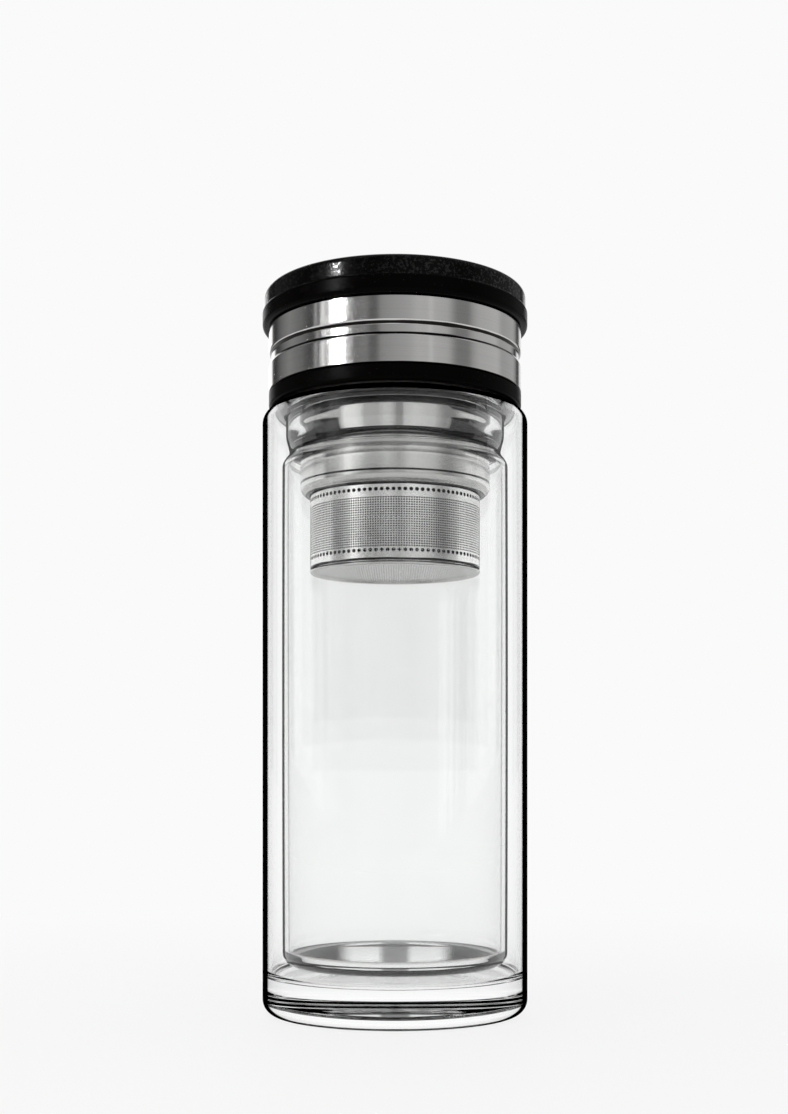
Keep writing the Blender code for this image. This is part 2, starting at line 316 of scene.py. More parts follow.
def makeHandledGroup(g):
    # finger marks with faint wipe streaks, and specks of dust, as masks from 0 to the amount
    group, entry, result = newGroup(
        "handledSurface",
        [("Mark Scale", "NodeSocketFloat", 60.0), ("Amount", "NodeSocketFloat", 0.5)],
        [("Marks", "NodeSocketFloat"), ("Specks", "NodeSocketFloat")])
    place = objectPlace(group)
    smear = noise(group, place, entry.outputs["Mark Scale"], 4.0, Roughness=0.62, Distortion=0.8)
    dust = addNode(group, "ShaderNodeTexVoronoi", Vector=place, Scale=g["dustScale"]).outputs["Distance"]
    for name, mask in (("Marks", spanMask(group, smear, *g["markEdge"], smooth=True)),
                       ("Specks", spanMask(group, dust, *g["dustEdge"]))):
        feed(group, result, {name: product(group, mask, entry.outputs["Amount"])})
    return group


def makeEdgeGroup():
    # worn or polished edges, found by how far the surface bulges
    group, entry, result = newGroup(
        "edgeRub",
        [("Start", "NodeSocketFloat", 0.52), ("End", "NodeSocketFloat", 0.62),
         ("Break Scale", "NodeSocketFloat", 400.0)],
        [("Rub", "NodeSocketFloat")])
    bulge = addNode(group, "ShaderNodeNewGeometry").outputs["Pointiness"]
    edge = spanMask(group, bulge, entry.outputs["Start"], entry.outputs["End"])
    broken = noise(group, objectPlace(group), entry.outputs["Break Scale"], 3.0)
    feed(group, result, {"Rub": mathNode(group, "MULTIPLY", edge, broken)})
    return group


brushedLines = makeBrushedGroup(grain)
handledSurface = makeHandledGroup(grain)
edgeRub = makeEdgeGroup()


def startMaterial(name):
    material = bpy.data.materials.new(name)
    material.use_nodes = True
    tree = material.node_tree
    return material, tree, tree.nodes["Principled BSDF"]


def placeGroup(tree, group, **values):
    node = tree.nodes.new("ShaderNodeGroup")
    node.node_tree = group
    for key, value in values.items():
        node.inputs[key.replace("_", " ")].default_value = value
    return node


def mixColour(tree, factor, first, second):
    mix = tree.nodes.new("ShaderNodeMix")
    mix.data_type = "RGBA"
    tree.links.new(factor, mix.inputs[0])
    for socket, value in ((mix.inputs[6], first), (mix.inputs[7], second)):
        if isinstance(value, bpy.types.NodeSocket):
            tree.links.new(value, socket)
        else:
            socket.default_value = (*value, 1)
    return mix.outputs[2]


# settings of the painted shade lines: dark lines at given heights on the steel and in the glass's coat
paintedCreaseShade = {
    "wander": (110, 110, 12),   # scale at which its edges wander, round and up the piece
    "core": 0.6,                # share of its width that is fully dark
}


def objectHeight(tree):
    return addNode(tree, "ShaderNodeSeparateXYZ", i0=objectPlace(tree)).outputs["Z"]


def paintedShadeLine(tree, level, half):
    # a painted shade line: a mask that is 1 at one height of the piece and fades to 0 at about half a line's
    # width from it
    away = mathNode(tree, "ABSOLUTE", mathNode(tree, "SUBTRACT", objectHeight(tree), level))
    spread = addNode(tree, "ShaderNodeMapping", Vector=objectPlace(tree), Scale=paintedCreaseShade["wander"])
    wander = mathNode(tree, "SUBTRACT", noise(tree, spread.outputs["Vector"], 1.0, 2.0), 0.5)
    away = mathNode(tree, "ADD", away, mathNode(tree, "MULTIPLY", wander, half))
    return spanMask(tree, away, half, half * paintedCreaseShade["core"], smooth=True)


# Glass: the two tubes melted into one, with the still air sealed between them
glassLook = {
    "tint": (0.994, 0.998, 0.996),
    "markTint": (0.965, 0.975, 0.97),
    "markScale": 45.0,
    "markAmount": 0.25,
    "ior": 1.474,               # borosilicate
    "roughness": 0.0,
    "lampShare": 0.92,          # light that the lamps send through the walls
    # Layer Weight's facing value at which the painted shade of each surface sets in towards its outline
    "skinEdge": (0.70, 0.74),
    "tubeEdge": (0.78, 0.82),
    "boreEdge": (0.82, 0.85),
    "spaceEdge": (1.5, 2.0),
    "shelfEdge": (0.15, 0.26),
    # where the level faces of the base get painted shade at a grazing view, and how much light passes then
    "levelEdge": (0.70, 0.86),
    "levelTint": (0.80, 0.81, 0.805),
    "floorTint": (0.010, 0.011, 0.0105),  # painted near-black shade on the cup's floor at a grazing view, where it mirrors more than it lets through
    "waveScale": 240,
    "waveDepth": 0.04 * mm,
    "levelWaves": 0.4,          # strength of the waves in the base and in the cup's floor
    "floorWaves": 0.12,
    "steepest": 0.04,           # least square of the level share of a view, for views from above
    # dark rings in the bore's black coat: depth under the shoulder, half width, strength
    "boreDarkRings": [(12.1 * mm, 0.14 * mm, 0.9), (14.0 * mm, 0.55 * mm, 0.45)],
}


def makeGlass(name, look, edge, grazeTint=None, waves=0.0, rings=()):
    # clear glass with a black coat painted where it is seen at a grazing angle: painted shade standing in for
    # the dark edges of thick walls
    material, tree, shader = startMaterial(name)
    marks = placeGroup(tree, handledSurface, Mark_Scale=look["markScale"], Amount=look["markAmount"])
    colour = mixColour(tree, marks.outputs["Marks"], look["tint"], look["markTint"])
    facing = addNode(tree, "ShaderNodeLayerWeight", Blend=0.5).outputs["Facing"]
    # how far an upright wall turns away sideways, which is the same from any height
    upward = addNode(tree, "ShaderNodeCombineXYZ", Z=1.0).outputs["Vector"]
    level = addNode(tree, "ShaderNodeLayerWeight", Blend=0.5, Normal=upward).outputs["Facing"]
    rise = mathNode(tree, "SUBTRACT", 1.0, level)
    run = mathNode(tree, "MULTIPLY_ADD", rise, mathNode(tree, "MULTIPLY", rise, -1.0), 1.0)
    run = mathNode(tree, "SQRT", mathNode(tree, "MAXIMUM", run, look["steepest"]))
    towards = mathNode(tree, "DIVIDE", mathNode(tree, "SUBTRACT", 1.0, facing), run)
    sideways = mathNode(tree, "SUBTRACT", 1.0, towards)
    # painted shade on level faces seen at a grazing angle
    if grazeTint:
        colour = mixColour(tree, spanMask(tree, facing, *look["levelEdge"], smooth=True), colour, grazeTint)
    if waves:
        wave = noise(tree, objectPlace(tree), look["waveScale"], 1.0)
        bump = addNode(tree, "ShaderNodeBump", Height=wave, Strength=waves, Distance=look["waveDepth"])
        feed(tree, shader, {"Normal": bump.outputs["Normal"]})
    # painted shade: a black coat towards the outline, and dark rings in the bore
    paintedCoatShade = spanMask(tree, sideways, *edge, smooth=True)
    for depth, half, strength in rings:
        ring = paintedShadeLine(tree, outerHigh.z - depth, half)
        paintedCoatShade = mathNode(tree, "MAXIMUM", paintedCoatShade, mathNode(tree, "MULTIPLY", ring, strength))
    feed(tree, shader, {"Base Color": colour, "Roughness": look["roughness"], "IOR": look["ior"],
                        "Transmission Weight": 1.0, "Coat Weight": paintedCoatShade, "Coat IOR": 1.0,
                        "Coat Tint": (0, 0, 0, 1)})
    through = addNode(tree, "ShaderNodeBsdfTransparent", Color=(*[look["lampShare"]] * 3, 1))
    lamp = addNode(tree, "ShaderNodeLightPath").outputs["Is Shadow Ray"]
    mixToSurface(tree, lamp, shader.outputs["BSDF"], through.outputs["BSDF"])
    return material


outerLow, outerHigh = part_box("outer_glass_shell")
innerLow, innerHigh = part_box("inner_glass_cup")

glass = {
    "turns": 160,
    "wall": 2.0 * mm,
    "shoulderFillet": 3.4 * mm,
    "shoulderWall": 1.2 * mm,   # drawn thinner than the wall where the tube turns in
    "heelFillet": 4.0 * mm,
    "footWidth": 6.5 * mm,
    "puntDepth": 0.6 * mm,
    "puntFlat": 4.0 * mm,       # radius of the flat middle of the hollow under the base
    "baseThickness": 9.8 * mm,
    "baseFillet": 2.2 * mm,
    "tubeWall": 1.4 * mm,
    "tubeFloor": 2.4 * mm,
    "tubeFillet": 3.4 * mm,
    "neckDraw": 0.9 * mm,       # the neck is narrower than the tube by this
    "neckWall": 3.4 * mm,
    "waistDraw": 0.9 * mm,      # the waist is narrower than the neck by this
    "neckDepth": 6.3 * mm,
    "waistDepth": 10.9 * mm,
    "throatDepth": 8.8 * mm,    # foot of the straight throat below the shoulder, from where it flares
    "tubeDepth": 14.7 * mm,
    "seamFillet": 1.0 * mm,     # melted corner between shoulder and neck
    "airFillet": 1.1 * mm,      # round top of the air space
    "rimFillet": 1.1 * mm,
    "threadFoot": 2.2 * mm,
    "threadRings": 34,
    "flareRuns": 18,            # steps of the throat's flare, and of the hollow under the base
    "puntRuns": 12,
}
glassThread = {
    "pitch": 3.6 * mm,
    "laps": 1.6,
    "taper": 0.12,
    "height": 0.55 * mm,
    "halfWidth": 1.25 * mm,
    "pick": 0.02 * mm,
}


def makeTumbler(g, thread):
    radius = outerHigh.x
    shoulder = outerHigh.z
    tube = innerHigh.x
    mouth = innerHigh.z
    neck = tube - g["neckDraw"]
    throat = neck - g["neckWall"]
    bore = tube - g["tubeWall"]
    tubeBottom = innerLow.z
    floor = tubeBottom + g["tubeFloor"]
    tubeTop = shoulder - g["tubeDepth"]
    waist = (neck - g["waistDraw"], shoulder - g["waistDepth"])
    boreFillet = g["tubeFillet"] - g["tubeWall"]
    boreTop = (bore, tubeTop - g["tubeWall"])
    throatFoot = (throat, shoulder - g["throatDepth"])
    shoulderX = radius - g["shoulderFillet"]
    shoulderZ = shoulder - g["shoulderFillet"]
    threadFoot = (neck, shoulder + g["threadFoot"])
    threadTop = (neck, mouth - 2 * g["rimFillet"])

    # the inside of the cup, up to the mouth
    outline = [(0, floor)]
    outline += arcPoints(bore - boreFillet, floor + boreFillet, boreFillet, -90, 0, 8)
    outline.append(boreTop)
    for i in range(1, g["flareRuns"]):
        share = i / g["flareRuns"]
        swing = math.sin(math.pi / 2 * (1 - share))
        outline.append((throat + (bore - throat) * swing, boreTop[1] + (throatFoot[1] - boreTop[1]) * share))
    outline.append(throatFoot)
    outline += arcPoints(throat + g["rimFillet"], mouth - g["rimFillet"], g["rimFillet"], 180, 90, 6)
    # over the rim and down the threaded neck to the shoulder
    outline += arcPoints(neck - g["rimFillet"], mouth - g["rimFillet"], g["rimFillet"], 90, 0, 6)
    outline += [threadTop] + straightPoints(threadTop, threadFoot, g["threadRings"]) + [threadFoot]
    outline += arcPoints(neck + g["seamFillet"], shoulder + g["seamFillet"], g["seamFillet"], 180, 270, 6)
    # the outer wall, the heel and the shallow punt
    outline += arcPoints(shoulderX, shoulderZ, g["shoulderFillet"], 90, 0, 14)
    outline += wallPoints((radius, shoulderZ), (radius, g["heelFillet"]))[1:-1]
    outline += arcPoints(radius - g["heelFillet"], g["heelFillet"], g["heelFillet"], 0, -90, 12)
    puntEdge = radius - g["heelFillet"] - g["footWidth"]
    outline.append((puntEdge, 0))
    for i in range(1, g["puntRuns"] + 1):
        share = i / g["puntRuns"]
        rise = g["puntDepth"] * swingShare(share)
        outline.append((puntEdge + (g["puntFlat"] - puntEdge) * share, rise))
    outline.append((0, g["puntDepth"]))
    tumbler = turnOutline("glassTumbler", outline, g["turns"])
    thread["wallRadius"] = neck
    thread["start"] = threadFoot[1] + thread["halfWidth"]
    raiseThread(tumbler, thread, 1)

    # the sealed air space between the tubes
    airRadius = radius - g["wall"]
    slab = g["baseThickness"]
    airTopZ = shoulder - g["shoulderWall"]
    outline = [(0, slab)]
    outline += arcPoints(airRadius - g["baseFillet"], slab + g["baseFillet"], g["baseFillet"], -90, 0, 8)
    outline += arcPoints(shoulderX, shoulderZ, g["shoulderFillet"] - g["wall"], 0, 90, 12,
                         g["shoulderFillet"] - g["shoulderWall"])
    outline += arcPoints(neck + g["airFillet"], airTopZ - g["airFillet"], g["airFillet"], 90, 180, 6)
    neckFoot = (neck, shoulder - g["neckDepth"])
    outline += [neckFoot] + easePoints(neckFoot, waist, 10) + [waist]
    outline += easePoints(waist, (tube, tubeTop), 12) + [(tube, tubeTop)]
    outline += arcPoints(tube - g["tubeFillet"], tubeBottom + g["tubeFillet"], g["tubeFillet"], 0, -90, 10)
    outline += [(0, tubeBottom)]
    air = turnOutline("airSpace", outline, g["turns"])
    bpy.context.view_layer.objects.active = air
    air.select_set(True)
    setMode("EDIT")
    bpy.ops.mesh.select_all(action="SELECT")
    bpy.ops.mesh.flip_normals()
    setMode("OBJECT")
    joinPieces(tumbler, air)
    deselectAll()
    return tumbler


# every surface of the glass gets its own painted edge shade: the number is that of the finish on the piece
skinFace, boreFace, tubeFace, spaceFace, levelFace, shelfFace, floorFace = range(7)
glassSplit = {
    "levelRise": 0.9,           # least upright share of a level face's normal
    "shelfRise": 0.45,          # and of the shoulder's, where the lid covers it
    "wallTurn": 0.5,            # least outward share of a wall's normal, and that of the tube's rounded foot
    "footTurn": 0.95,
    "near": 0.1 * mm,           # a face this close to the height of the cup's floor is part of it
    "seam": 0.01 * mm,          # and one less than this over the shoulder is part of the shoulder
}


def glassFinishes(look):
    clear = look["spaceEdge"]
    return (makeGlass("boreGlass", look, look["boreEdge"], rings=look["boreDarkRings"]),
            makeGlass("tubeGlass", look, look["tubeEdge"]),
            makeGlass("spaceGlass", look, clear),
            makeGlass("levelGlass", look, clear, look["levelTint"], look["levelWaves"]),
            makeGlass("shelfGlass", look, look["shelfEdge"]),
            makeGlass("floorGlass", look, clear, look["floorTint"], look["floorWaves"]))


def chooseGlass(face, g=glass, s=glassSplit):
    centre = face.center
    rise = face.normal.z
    away = math.hypot(centre.x, centre.y)
    outward = (face.normal.x * centre.x + face.normal.y * centre.y) / max(away, mm)
    if centre.z < innerLow.z + 2 * g["tubeFloor"] and abs(rise) > s["levelRise"]:
        fromFloor = abs(centre.z - innerLow.z - g["tubeFloor"])
        return floorFace if rise > 0 and fromFloor < s["near"] else levelFace
    onShoulder = outerHigh.z - g["shoulderFillet"] < centre.z < outerHigh.z + s["seam"]
    if onShoulder and rise > s["shelfRise"] and away > innerHigh.x:
        return shelfFace
    halfWall = g["wall"] / 2
    if (away > outerHigh.x - halfWall or centre.z > outerHigh.z - halfWall
            or centre.z < g["baseThickness"] / 2):
        return skinFace
    upright = s["footTurn"] if centre.z < innerLow.z + g["tubeFillet"] else s["wallTurn"]
    aboveFloor = centre.z > innerLow.z + g["tubeFloor"] / 2
    if aboveFloor and away < innerHigh.x - g["tubeWall"] / 2 and outward < -upright:
        return boreFace
    if away < innerHigh.x + g["tubeWall"] / 2 and outward > upright:
        return tubeFace
    return spaceFace


tumbler = makeTumbler(glass, glassThread)
skinGlass = makeGlass("skinGlass", glassLook, glassLook["skinEdge"])
finishPiece(tumbler, "tumbler", "outer_glass", skinGlass, "outer_glass_shell", "inner_glass_cup")
splitFinish(tumbler, glassFinishes(glassLook), chooseGlass)
print("glass done")

# Strainer
strainerLook = {
    "bright": (0.86, 0.855, 0.84),
    "dull": (0.70, 0.695, 0.685),
    # painted shade of the sheet's inner face and hole walls; insideShade darkens its marks further
    "inside": (0.05, 0.049, 0.048),
    "insideShade": 0.7,
    "insideScale": 160.0,
    "insideRoughness": 0.45,
    # colour of the painted shade lines in creases
    "paintedCreaseShade": (0.03, 0.029, 0.028),
    "roughness": 0.15,
    "roughnessSpread": 0.12,
    "lineScale": (18, 18, 5200),
    "lineDepth": 0.35,
    "markScale": 110.0,
    "markAmount": 0.6,
    "markRough": 0.10,          # how much duller a finger mark is
    "rub": (0.51, 0.60),
}


def makeSteel(name, look, lineScale, shadeLines=()):
    # shade lines are heights on the piece with half widths, along which painted shade darkens the steel
    material, tree, shader = startMaterial(name)
    lines = placeGroup(tree, brushedLines, Line_Scale=lineScale, Depth=look["lineDepth"])
    marks = placeGroup(tree, handledSurface, Mark_Scale=look["markScale"], Amount=look["markAmount"])
    tone = lines.outputs["Tone"]
    colour = mixColour(tree, tone, look["dull"], look["bright"])
    if look["rub"]:
        rub = placeGroup(tree, edgeRub, Start=look["rub"][0], End=look["rub"][1])
        colour = mixColour(tree, rub.outputs["Rub"], colour, look["bright"])
    if shadeLines:
        shade = paintedShadeLine(tree, *shadeLines[0])
        for line in shadeLines[1:]:
            shade = mathNode(tree, "MAXIMUM", shade, paintedShadeLine(tree, *line))
        colour = mixColour(tree, shade, colour, look["paintedCreaseShade"])
    rough = mathNode(tree, "MULTIPLY_ADD", tone, look["roughnessSpread"], look["roughness"])
    rough = mathNode(tree, "MULTIPLY_ADD", marks.outputs["Marks"], look["markRough"], rough)
    feed(tree, shader, {"Base Color": colour, "Roughness": rough, "Metallic": 1.0,
                        "Normal": lines.outputs["Normal"]})
    return material


collarLow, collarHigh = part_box("strainer_collar")
sleeveLow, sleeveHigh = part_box("strainer_sleeve")
panLow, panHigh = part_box("strainer_bottom")

collar = {
    "turns": 144,
    "sheet": 0.4 * mm,
    "collarClearance": 0.45 * mm,
    "stepFillet": 2.2 * mm,
    "flangeBend": 0.8 * mm,
    "lipGap": 0.3 * mm,
    "collarShadeRise": 2.9 * mm,      # painted shade line round the collar, over its foot
    "collarShadeHalf": 0.32 * mm,
    "hangDepth": 8.6 * mm,      # under the glass shoulder, where the collar begins to narrow upwards
    "hangDraw": 0.42 * mm,      # how much it narrows up to the shoulder
    "hangHalf": 0.28 * mm,
    "hangFull": 2.0 * mm,       # over the shoulder, where it is narrowest, and where it is wide again
    "hangEnd": 5.0 * mm,
    "footHalf": 0.25 * mm,      # half height of the shade along the collar's foot
}


def makeCollar(c, g):
    sheet = c["sheet"]
    throat = innerHigh.x - g["neckDraw"] - g["neckWall"]
    radius = throat - c["collarClearance"]
    flange = collarHigh.x
    top = collarHigh.z
    bendX = radius + c["flangeBend"]
    bendZ = top - sheet - c["flangeBend"]
    stepX = radius - c["stepFillet"]
    stepZ = collarLow.z + c["stepFillet"]
    lip = sleeveHigh.x + c["lipGap"]
    bead = sheet / 2
    outline = arcPoints(flange - bead, top - bead, bead, 90, -90, 6)
    outline += arcPoints(bendX, bendZ, c["flangeBend"], 90, 180, 6)
    hang = ((radius, outerHigh.z + c["hangEnd"]), (radius - c["hangDraw"], outerHigh.z + c["hangFull"]),
            (radius, outerHigh.z - c["hangDepth"]))
    outline += [hang[0]] + easePoints(hang[0], hang[1], 6)
    outline += [hang[1]] + straightPoints(hang[1], hang[2], 8) + [hang[2]]
    outline += arcPoints(stepX, stepZ, c["stepFillet"], 0, -90, 14)
    outline += [(lip, collarLow.z), (lip, collarLow.z + sheet)]
    outline += arcPoints(stepX, stepZ, c["stepFillet"] - sheet, -90, 0, 12)
    within = [(x - sheet, z) for x, z in reversed(hang)]
    outline += [within[0]] + straightPoints(within[0], within[1], 8) + [within[1]]
    outline += easePoints(within[1], within[2], 6) + [within[2]]
    outline += arcPoints(bendX, bendZ, c["flangeBend"] + sheet, 180, 90, 6)
    outline.append(outline[0])
    return turnOutline("strainerCollar", outline, c["turns"], 40)


# painted shade lines on the collar: over its foot, along its foot, and where it narrows under the shoulder
collarShades = ((collarLow.z + collar["collarShadeRise"], collar["collarShadeHalf"]), (collarLow.z, collar["footHalf"]),
                (outerHigh.z - collar["hangDepth"], collar["hangHalf"]))
hangLook = {**strainerLook, "roughness": 0.03, "roughnessSpread": 0.03, "lineDepth": 0.04}
collarSteel = makeSteel("collarSteel", strainerLook, strainerLook["lineScale"], collarShades)
hangSteel = makeSteel("hangSteel", hangLook, strainerLook["lineScale"])
strainerCollar = makeCollar(collar, glass)
finishPiece(strainerCollar, "strainer", "collar_steel", collarSteel, "strainer_collar")
splitFinish(strainerCollar, [hangSteel], lambda face: int(face.center.z > outerHigh.z - collar["hangDepth"]))

sleeve = {
    "sheet": 0.3 * mm,
    "fineColumns": 220,
    "fineRows": 21,
    "fineTop": 3.2 * mm,        # top of the fine field under the collar's foot
    "finePitch": 0.59 * mm,
    "fineHole": 0.36 * mm,
    "fineTaper": 0.45,          # the etched holes narrow to this share at the inner face
    "largeColumns": 97,
    "largePitch": 1.30 * mm,    # height of a row of large holes
    "largeHole": 0.94 * mm,
    "holeProfile": 0.086,       # bevel profile that makes a round hole
    "largeTopDrop": 1.5 * mm,   # middle of the upper row under the collar's foot
    "largeBottomRise": 2.3 * mm,    # middle of the lower row over the sleeve's end
    "outerTurn": 0.8,           # least outward share of an outer face's normal
    "topShade": 0.35 * mm,      # half heights of the shades under the collar and over the pan
    "footShade": 0.5 * mm,
}


def addSheet(name, columns, rows, width, height, top):
    # a flat sheet in the XZ plane that starts at x = 0
    bpy.ops.mesh.primitive_grid_add(x_subdivisions=columns, y_subdivisions=rows, size=1,
                                    location=(width / 2, 0, top - height / 2), rotation=(math.pi / 2, 0, 0))
    sheet = bpy.context.object
    sheet.name = name
    sheet.scale = (width, height, 1)
    bpy.ops.object.transform_apply(location=True, rotation=True, scale=True)
    return sheet


def makeFineField(s, width, top):
    # square holes: every cell is inset on its own and cut away
    height = s["fineRows"] * s["finePitch"]
    sheet = addSheet("sleeveFineField", s["fineColumns"], s["fineRows"], width, height, top)
    cell = min(width / s["fineColumns"], s["finePitch"])
    setMode("EDIT")
    bpy.ops.mesh.select_mode(type="FACE")
    bpy.ops.mesh.select_all(action="SELECT")
    bpy.ops.mesh.inset(use_individual=True, thickness=(cell - s["fineHole"]) / 2)
    bpy.ops.mesh.delete(type="FACE")
    setMode("OBJECT")
    deselectAll()
    return sheet


def makeHoleRow(name, s, width, top):
    # round holes: the middle vertex of each cell is opened by a vertex bevel
    sheet = addSheet(name, 2 * s["largeColumns"], 2, width, s["largePitch"], top)
    clearSelection(sheet)
    cell = width / s["largeColumns"]
    for vertex in sheet.data.vertices:
        inMiddle = abs(vertex.co.z - top + s["largePitch"] / 2) < mergeDistance
        place = vertex.co.x / cell
        vertex.select = inMiddle and abs(place - math.floor(place) - 0.5) < 0.1
    setMode("EDIT")
    bpy.ops.mesh.select_mode(type="VERT")
    bpy.ops.mesh.bevel(affect="VERTICES", offset=s["largeHole"] / 2, segments=4, profile=s["holeProfile"])
    bpy.ops.mesh.select_mode(type="FACE")
    bpy.ops.mesh.delete(type="FACE")
    setMode("OBJECT")
    deselectAll()
    return sheet


def rollUp(piece, radius):
    # rolls a flat sheet round the axis
    for vertex in piece.data.vertices:
        turn = vertex.co.x / radius
        vertex.co = (radius * math.cos(turn), radius * math.sin(turn), vertex.co.z)


def taperHoles(piece, s, radius, top):
    # draws the inner edges of the fine holes towards the middle of each hole
    turn = fullTurn / s["fineColumns"]
    for vertex in piece.data.vertices:
        away = math.hypot(vertex.co.x, vertex.co.y)
        row = (top - vertex.co.z) / s["finePitch"]
        if away > radius - s["sheet"] / 2 or not 0 < row < s["fineRows"]:
            continue
        column = (math.atan2(vertex.co.y, vertex.co.x) % fullTurn) / turn
        middle = (math.floor(column) + 0.5, math.floor(row) + 0.5)
        if max(abs(column - middle[0]), abs(row - middle[1])) > 0.4:
            continue
        around = (middle[0] + (column - middle[0]) * s["fineTaper"]) * turn
        height = top - (middle[1] + (row - middle[1]) * s["fineTaper"]) * s["finePitch"]
        vertex.co = (away * math.cos(around), away * math.sin(around), height)


def selectRows(piece, heights):
    # picks the edges of an upright flat sheet that lie at one of the heights
    clearSelection(piece)
    for edge in piece.data.edges:
        ends = [piece.data.vertices[i].co.z for i in edge.vertices]
        edge.select = any(all(abs(z - height) < mergeDistance for z in ends) for height in heights)


def makeSleeve(s):
    radius = sleeveHigh.x
    width = fullTurn * radius
    foot = collarLow.z
    fineTop = foot - s["fineTop"]
    fineHeight = s["fineRows"] * s["finePitch"]
    upperTop = foot - s["largeTopDrop"] + s["largePitch"] / 2
    lowerTop = sleeveLow.z + s["largeBottomRise"] + s["largePitch"] / 2
    upper = makeHoleRow("sleeveUpperRow", s, width, upperTop)
    lower = makeHoleRow("sleeveLowerRow", s, width, lowerTop)
    fine = makeFineField(s, width, fineTop)
    joinPieces(fine, upper, lower)
    fine.name = "strainerSleeve"
    setMode("EDIT")
    bpy.ops.mesh.select_mode(type="EDGE")
    setMode("OBJECT")
    for rows in ((upperTop - s["largePitch"], fineTop), (fineTop - fineHeight, lowerTop)):
        selectRows(fine, rows)
        setMode("EDIT")
        bpy.ops.mesh.bridge_edge_loops()
        setMode("OBJECT")
    for level, target in ((upperTop, sleeveHigh.z), (lowerTop - s["largePitch"], sleeveLow.z)):
        selectRows(fine, (level,))
        setMode("EDIT")
        bpy.ops.mesh.extrude_region_move(TRANSFORM_OT_translate={"value": (0, 0, target - level)})
        setMode("OBJECT")
    rollUp(fine, radius)
    setMode("EDIT")
    bpy.ops.mesh.select_mode(type="VERT")
    bpy.ops.mesh.select_all(action="SELECT")
    bpy.ops.mesh.remove_doubles(threshold=mergeDistance)
    bpy.ops.mesh.normals_make_consistent(inside=False)
    setMode("OBJECT")
    thicken(fine, s["sheet"], -1)
    taperHoles(fine, s, radius, fineTop)
    bpy.ops.object.shade_smooth_by_angle(angle=math.radians(30))
    deselectAll()
    return fine


def makeShadedInsideSteel(look):
    # the inner face of the perforated sheet, painted dark as shade, and rough from etching
    material, tree, shader = startMaterial("paintedShadeInsideSteel")
    marks = placeGroup(tree, handledSurface, Mark_Scale=look["insideScale"], Amount=1.0).outputs["Marks"]
    darker = tuple(part * look["insideShade"] for part in look["inside"])
    feed(tree, shader, {"Base Color": mixColour(tree, marks, look["inside"], darker), "Metallic": 1.0,
                        "Roughness": mathNode(tree, "MULTIPLY_ADD", marks, 0.1, look["insideRoughness"])})
    return material


def chooseSleeve(face):
    # the outer face of the sheet keeps the bright finish; its inner face and the walls of its holes get the
    # painted shade
    outward = face.normal.x * face.center.x + face.normal.y * face.center.y
    return int(outward <= sleeve["outerTurn"] * math.hypot(face.center.x, face.center.y))


sleeveLook = {**strainerLook, "bright": (0.97, 0.965, 0.955), "dull": (0.86, 0.855, 0.845)}
sleeveSteel = makeSteel("sleeveSteel", sleeveLook, (700, 700, 14),
                                ((collarLow.z, sleeve["topShade"]), (sleeveLow.z, sleeve["footShade"])))
strainerSleeve = makeSleeve(sleeve)
finishPiece(strainerSleeve, "strainer", "sleeve_steel", sleeveSteel, "strainer_sleeve")
splitFinish(strainerSleeve, [makeShadedInsideSteel(strainerLook)], chooseSleeve)
print("sleeve done")

pan = {
    "turns": 144,
    "sheet": 0.4 * mm,
    "wallGap": 0.6 * mm,        # sleeve sheet and clearance
    "rimHeight": 1.0 * mm,
    "rimFillet": 0.6 * mm,
    "rimWidth": 1.6 * mm,
    "recess": 0.4 * mm,
    "meshRadius": 18.6 * mm,
    "meshPitch": 0.62 * mm,
    "meshHole": 0.24 * mm,
    "meshRise": 0.3,            # the disc's underside and its thickness, as shares of the sheet
    "meshSheet": 0.4,
    "meshOverlap": 0.9,         # pitches by which it reaches into the pan's flange
}


def makePan(p):
    radius = panHigh.x
    rimBottom = panLow.z
    rimTop = rimBottom + p["rimHeight"]
    wallOuter = radius - p["wallGap"]
    wallInner = wallOuter - p["sheet"]
    underside = rimBottom + p["recess"]
    floor = underside + p["sheet"]
    recessEdge = radius - p["rimWidth"]
    bend = p["rimFillet"]
    outline = [(p["meshRadius"], floor), (wallInner - bend, floor)]
    outline += arcPoints(wallInner - bend, floor + bend, bend, -90, 0, 4)
    halfSheet = p["sheet"] / 2
    outline += arcPoints((wallInner + wallOuter) / 2, panHigh.z - halfSheet, halfSheet, 180, 0, 4)
    outline += [(wallOuter, rimTop)]
    halfRim = p["rimHeight"] / 2
    outline += arcPoints(radius - halfRim, rimTop - halfRim, halfRim, 90, -90, 10)
    outline += [(recessEdge, rimBottom), (recessEdge - p["recess"], underside), (p["meshRadius"], underside)]
    outline.append(outline[0])
    return turnOutline("strainerPan", outline, p["turns"], 40)


def cutFaces(piece, choose, inset=0.0):
    # removes the faces chosen by their distance from the axis, or only the middle of each
    clearSelection(piece)
    for face in piece.data.polygons:
        face.select = choose(math.hypot(face.center.x, face.center.y))
    setMode("EDIT")
    if inset:
        bpy.ops.mesh.inset(use_individual=True, thickness=inset)
    bpy.ops.mesh.delete(type="FACE")
    setMode("OBJECT")


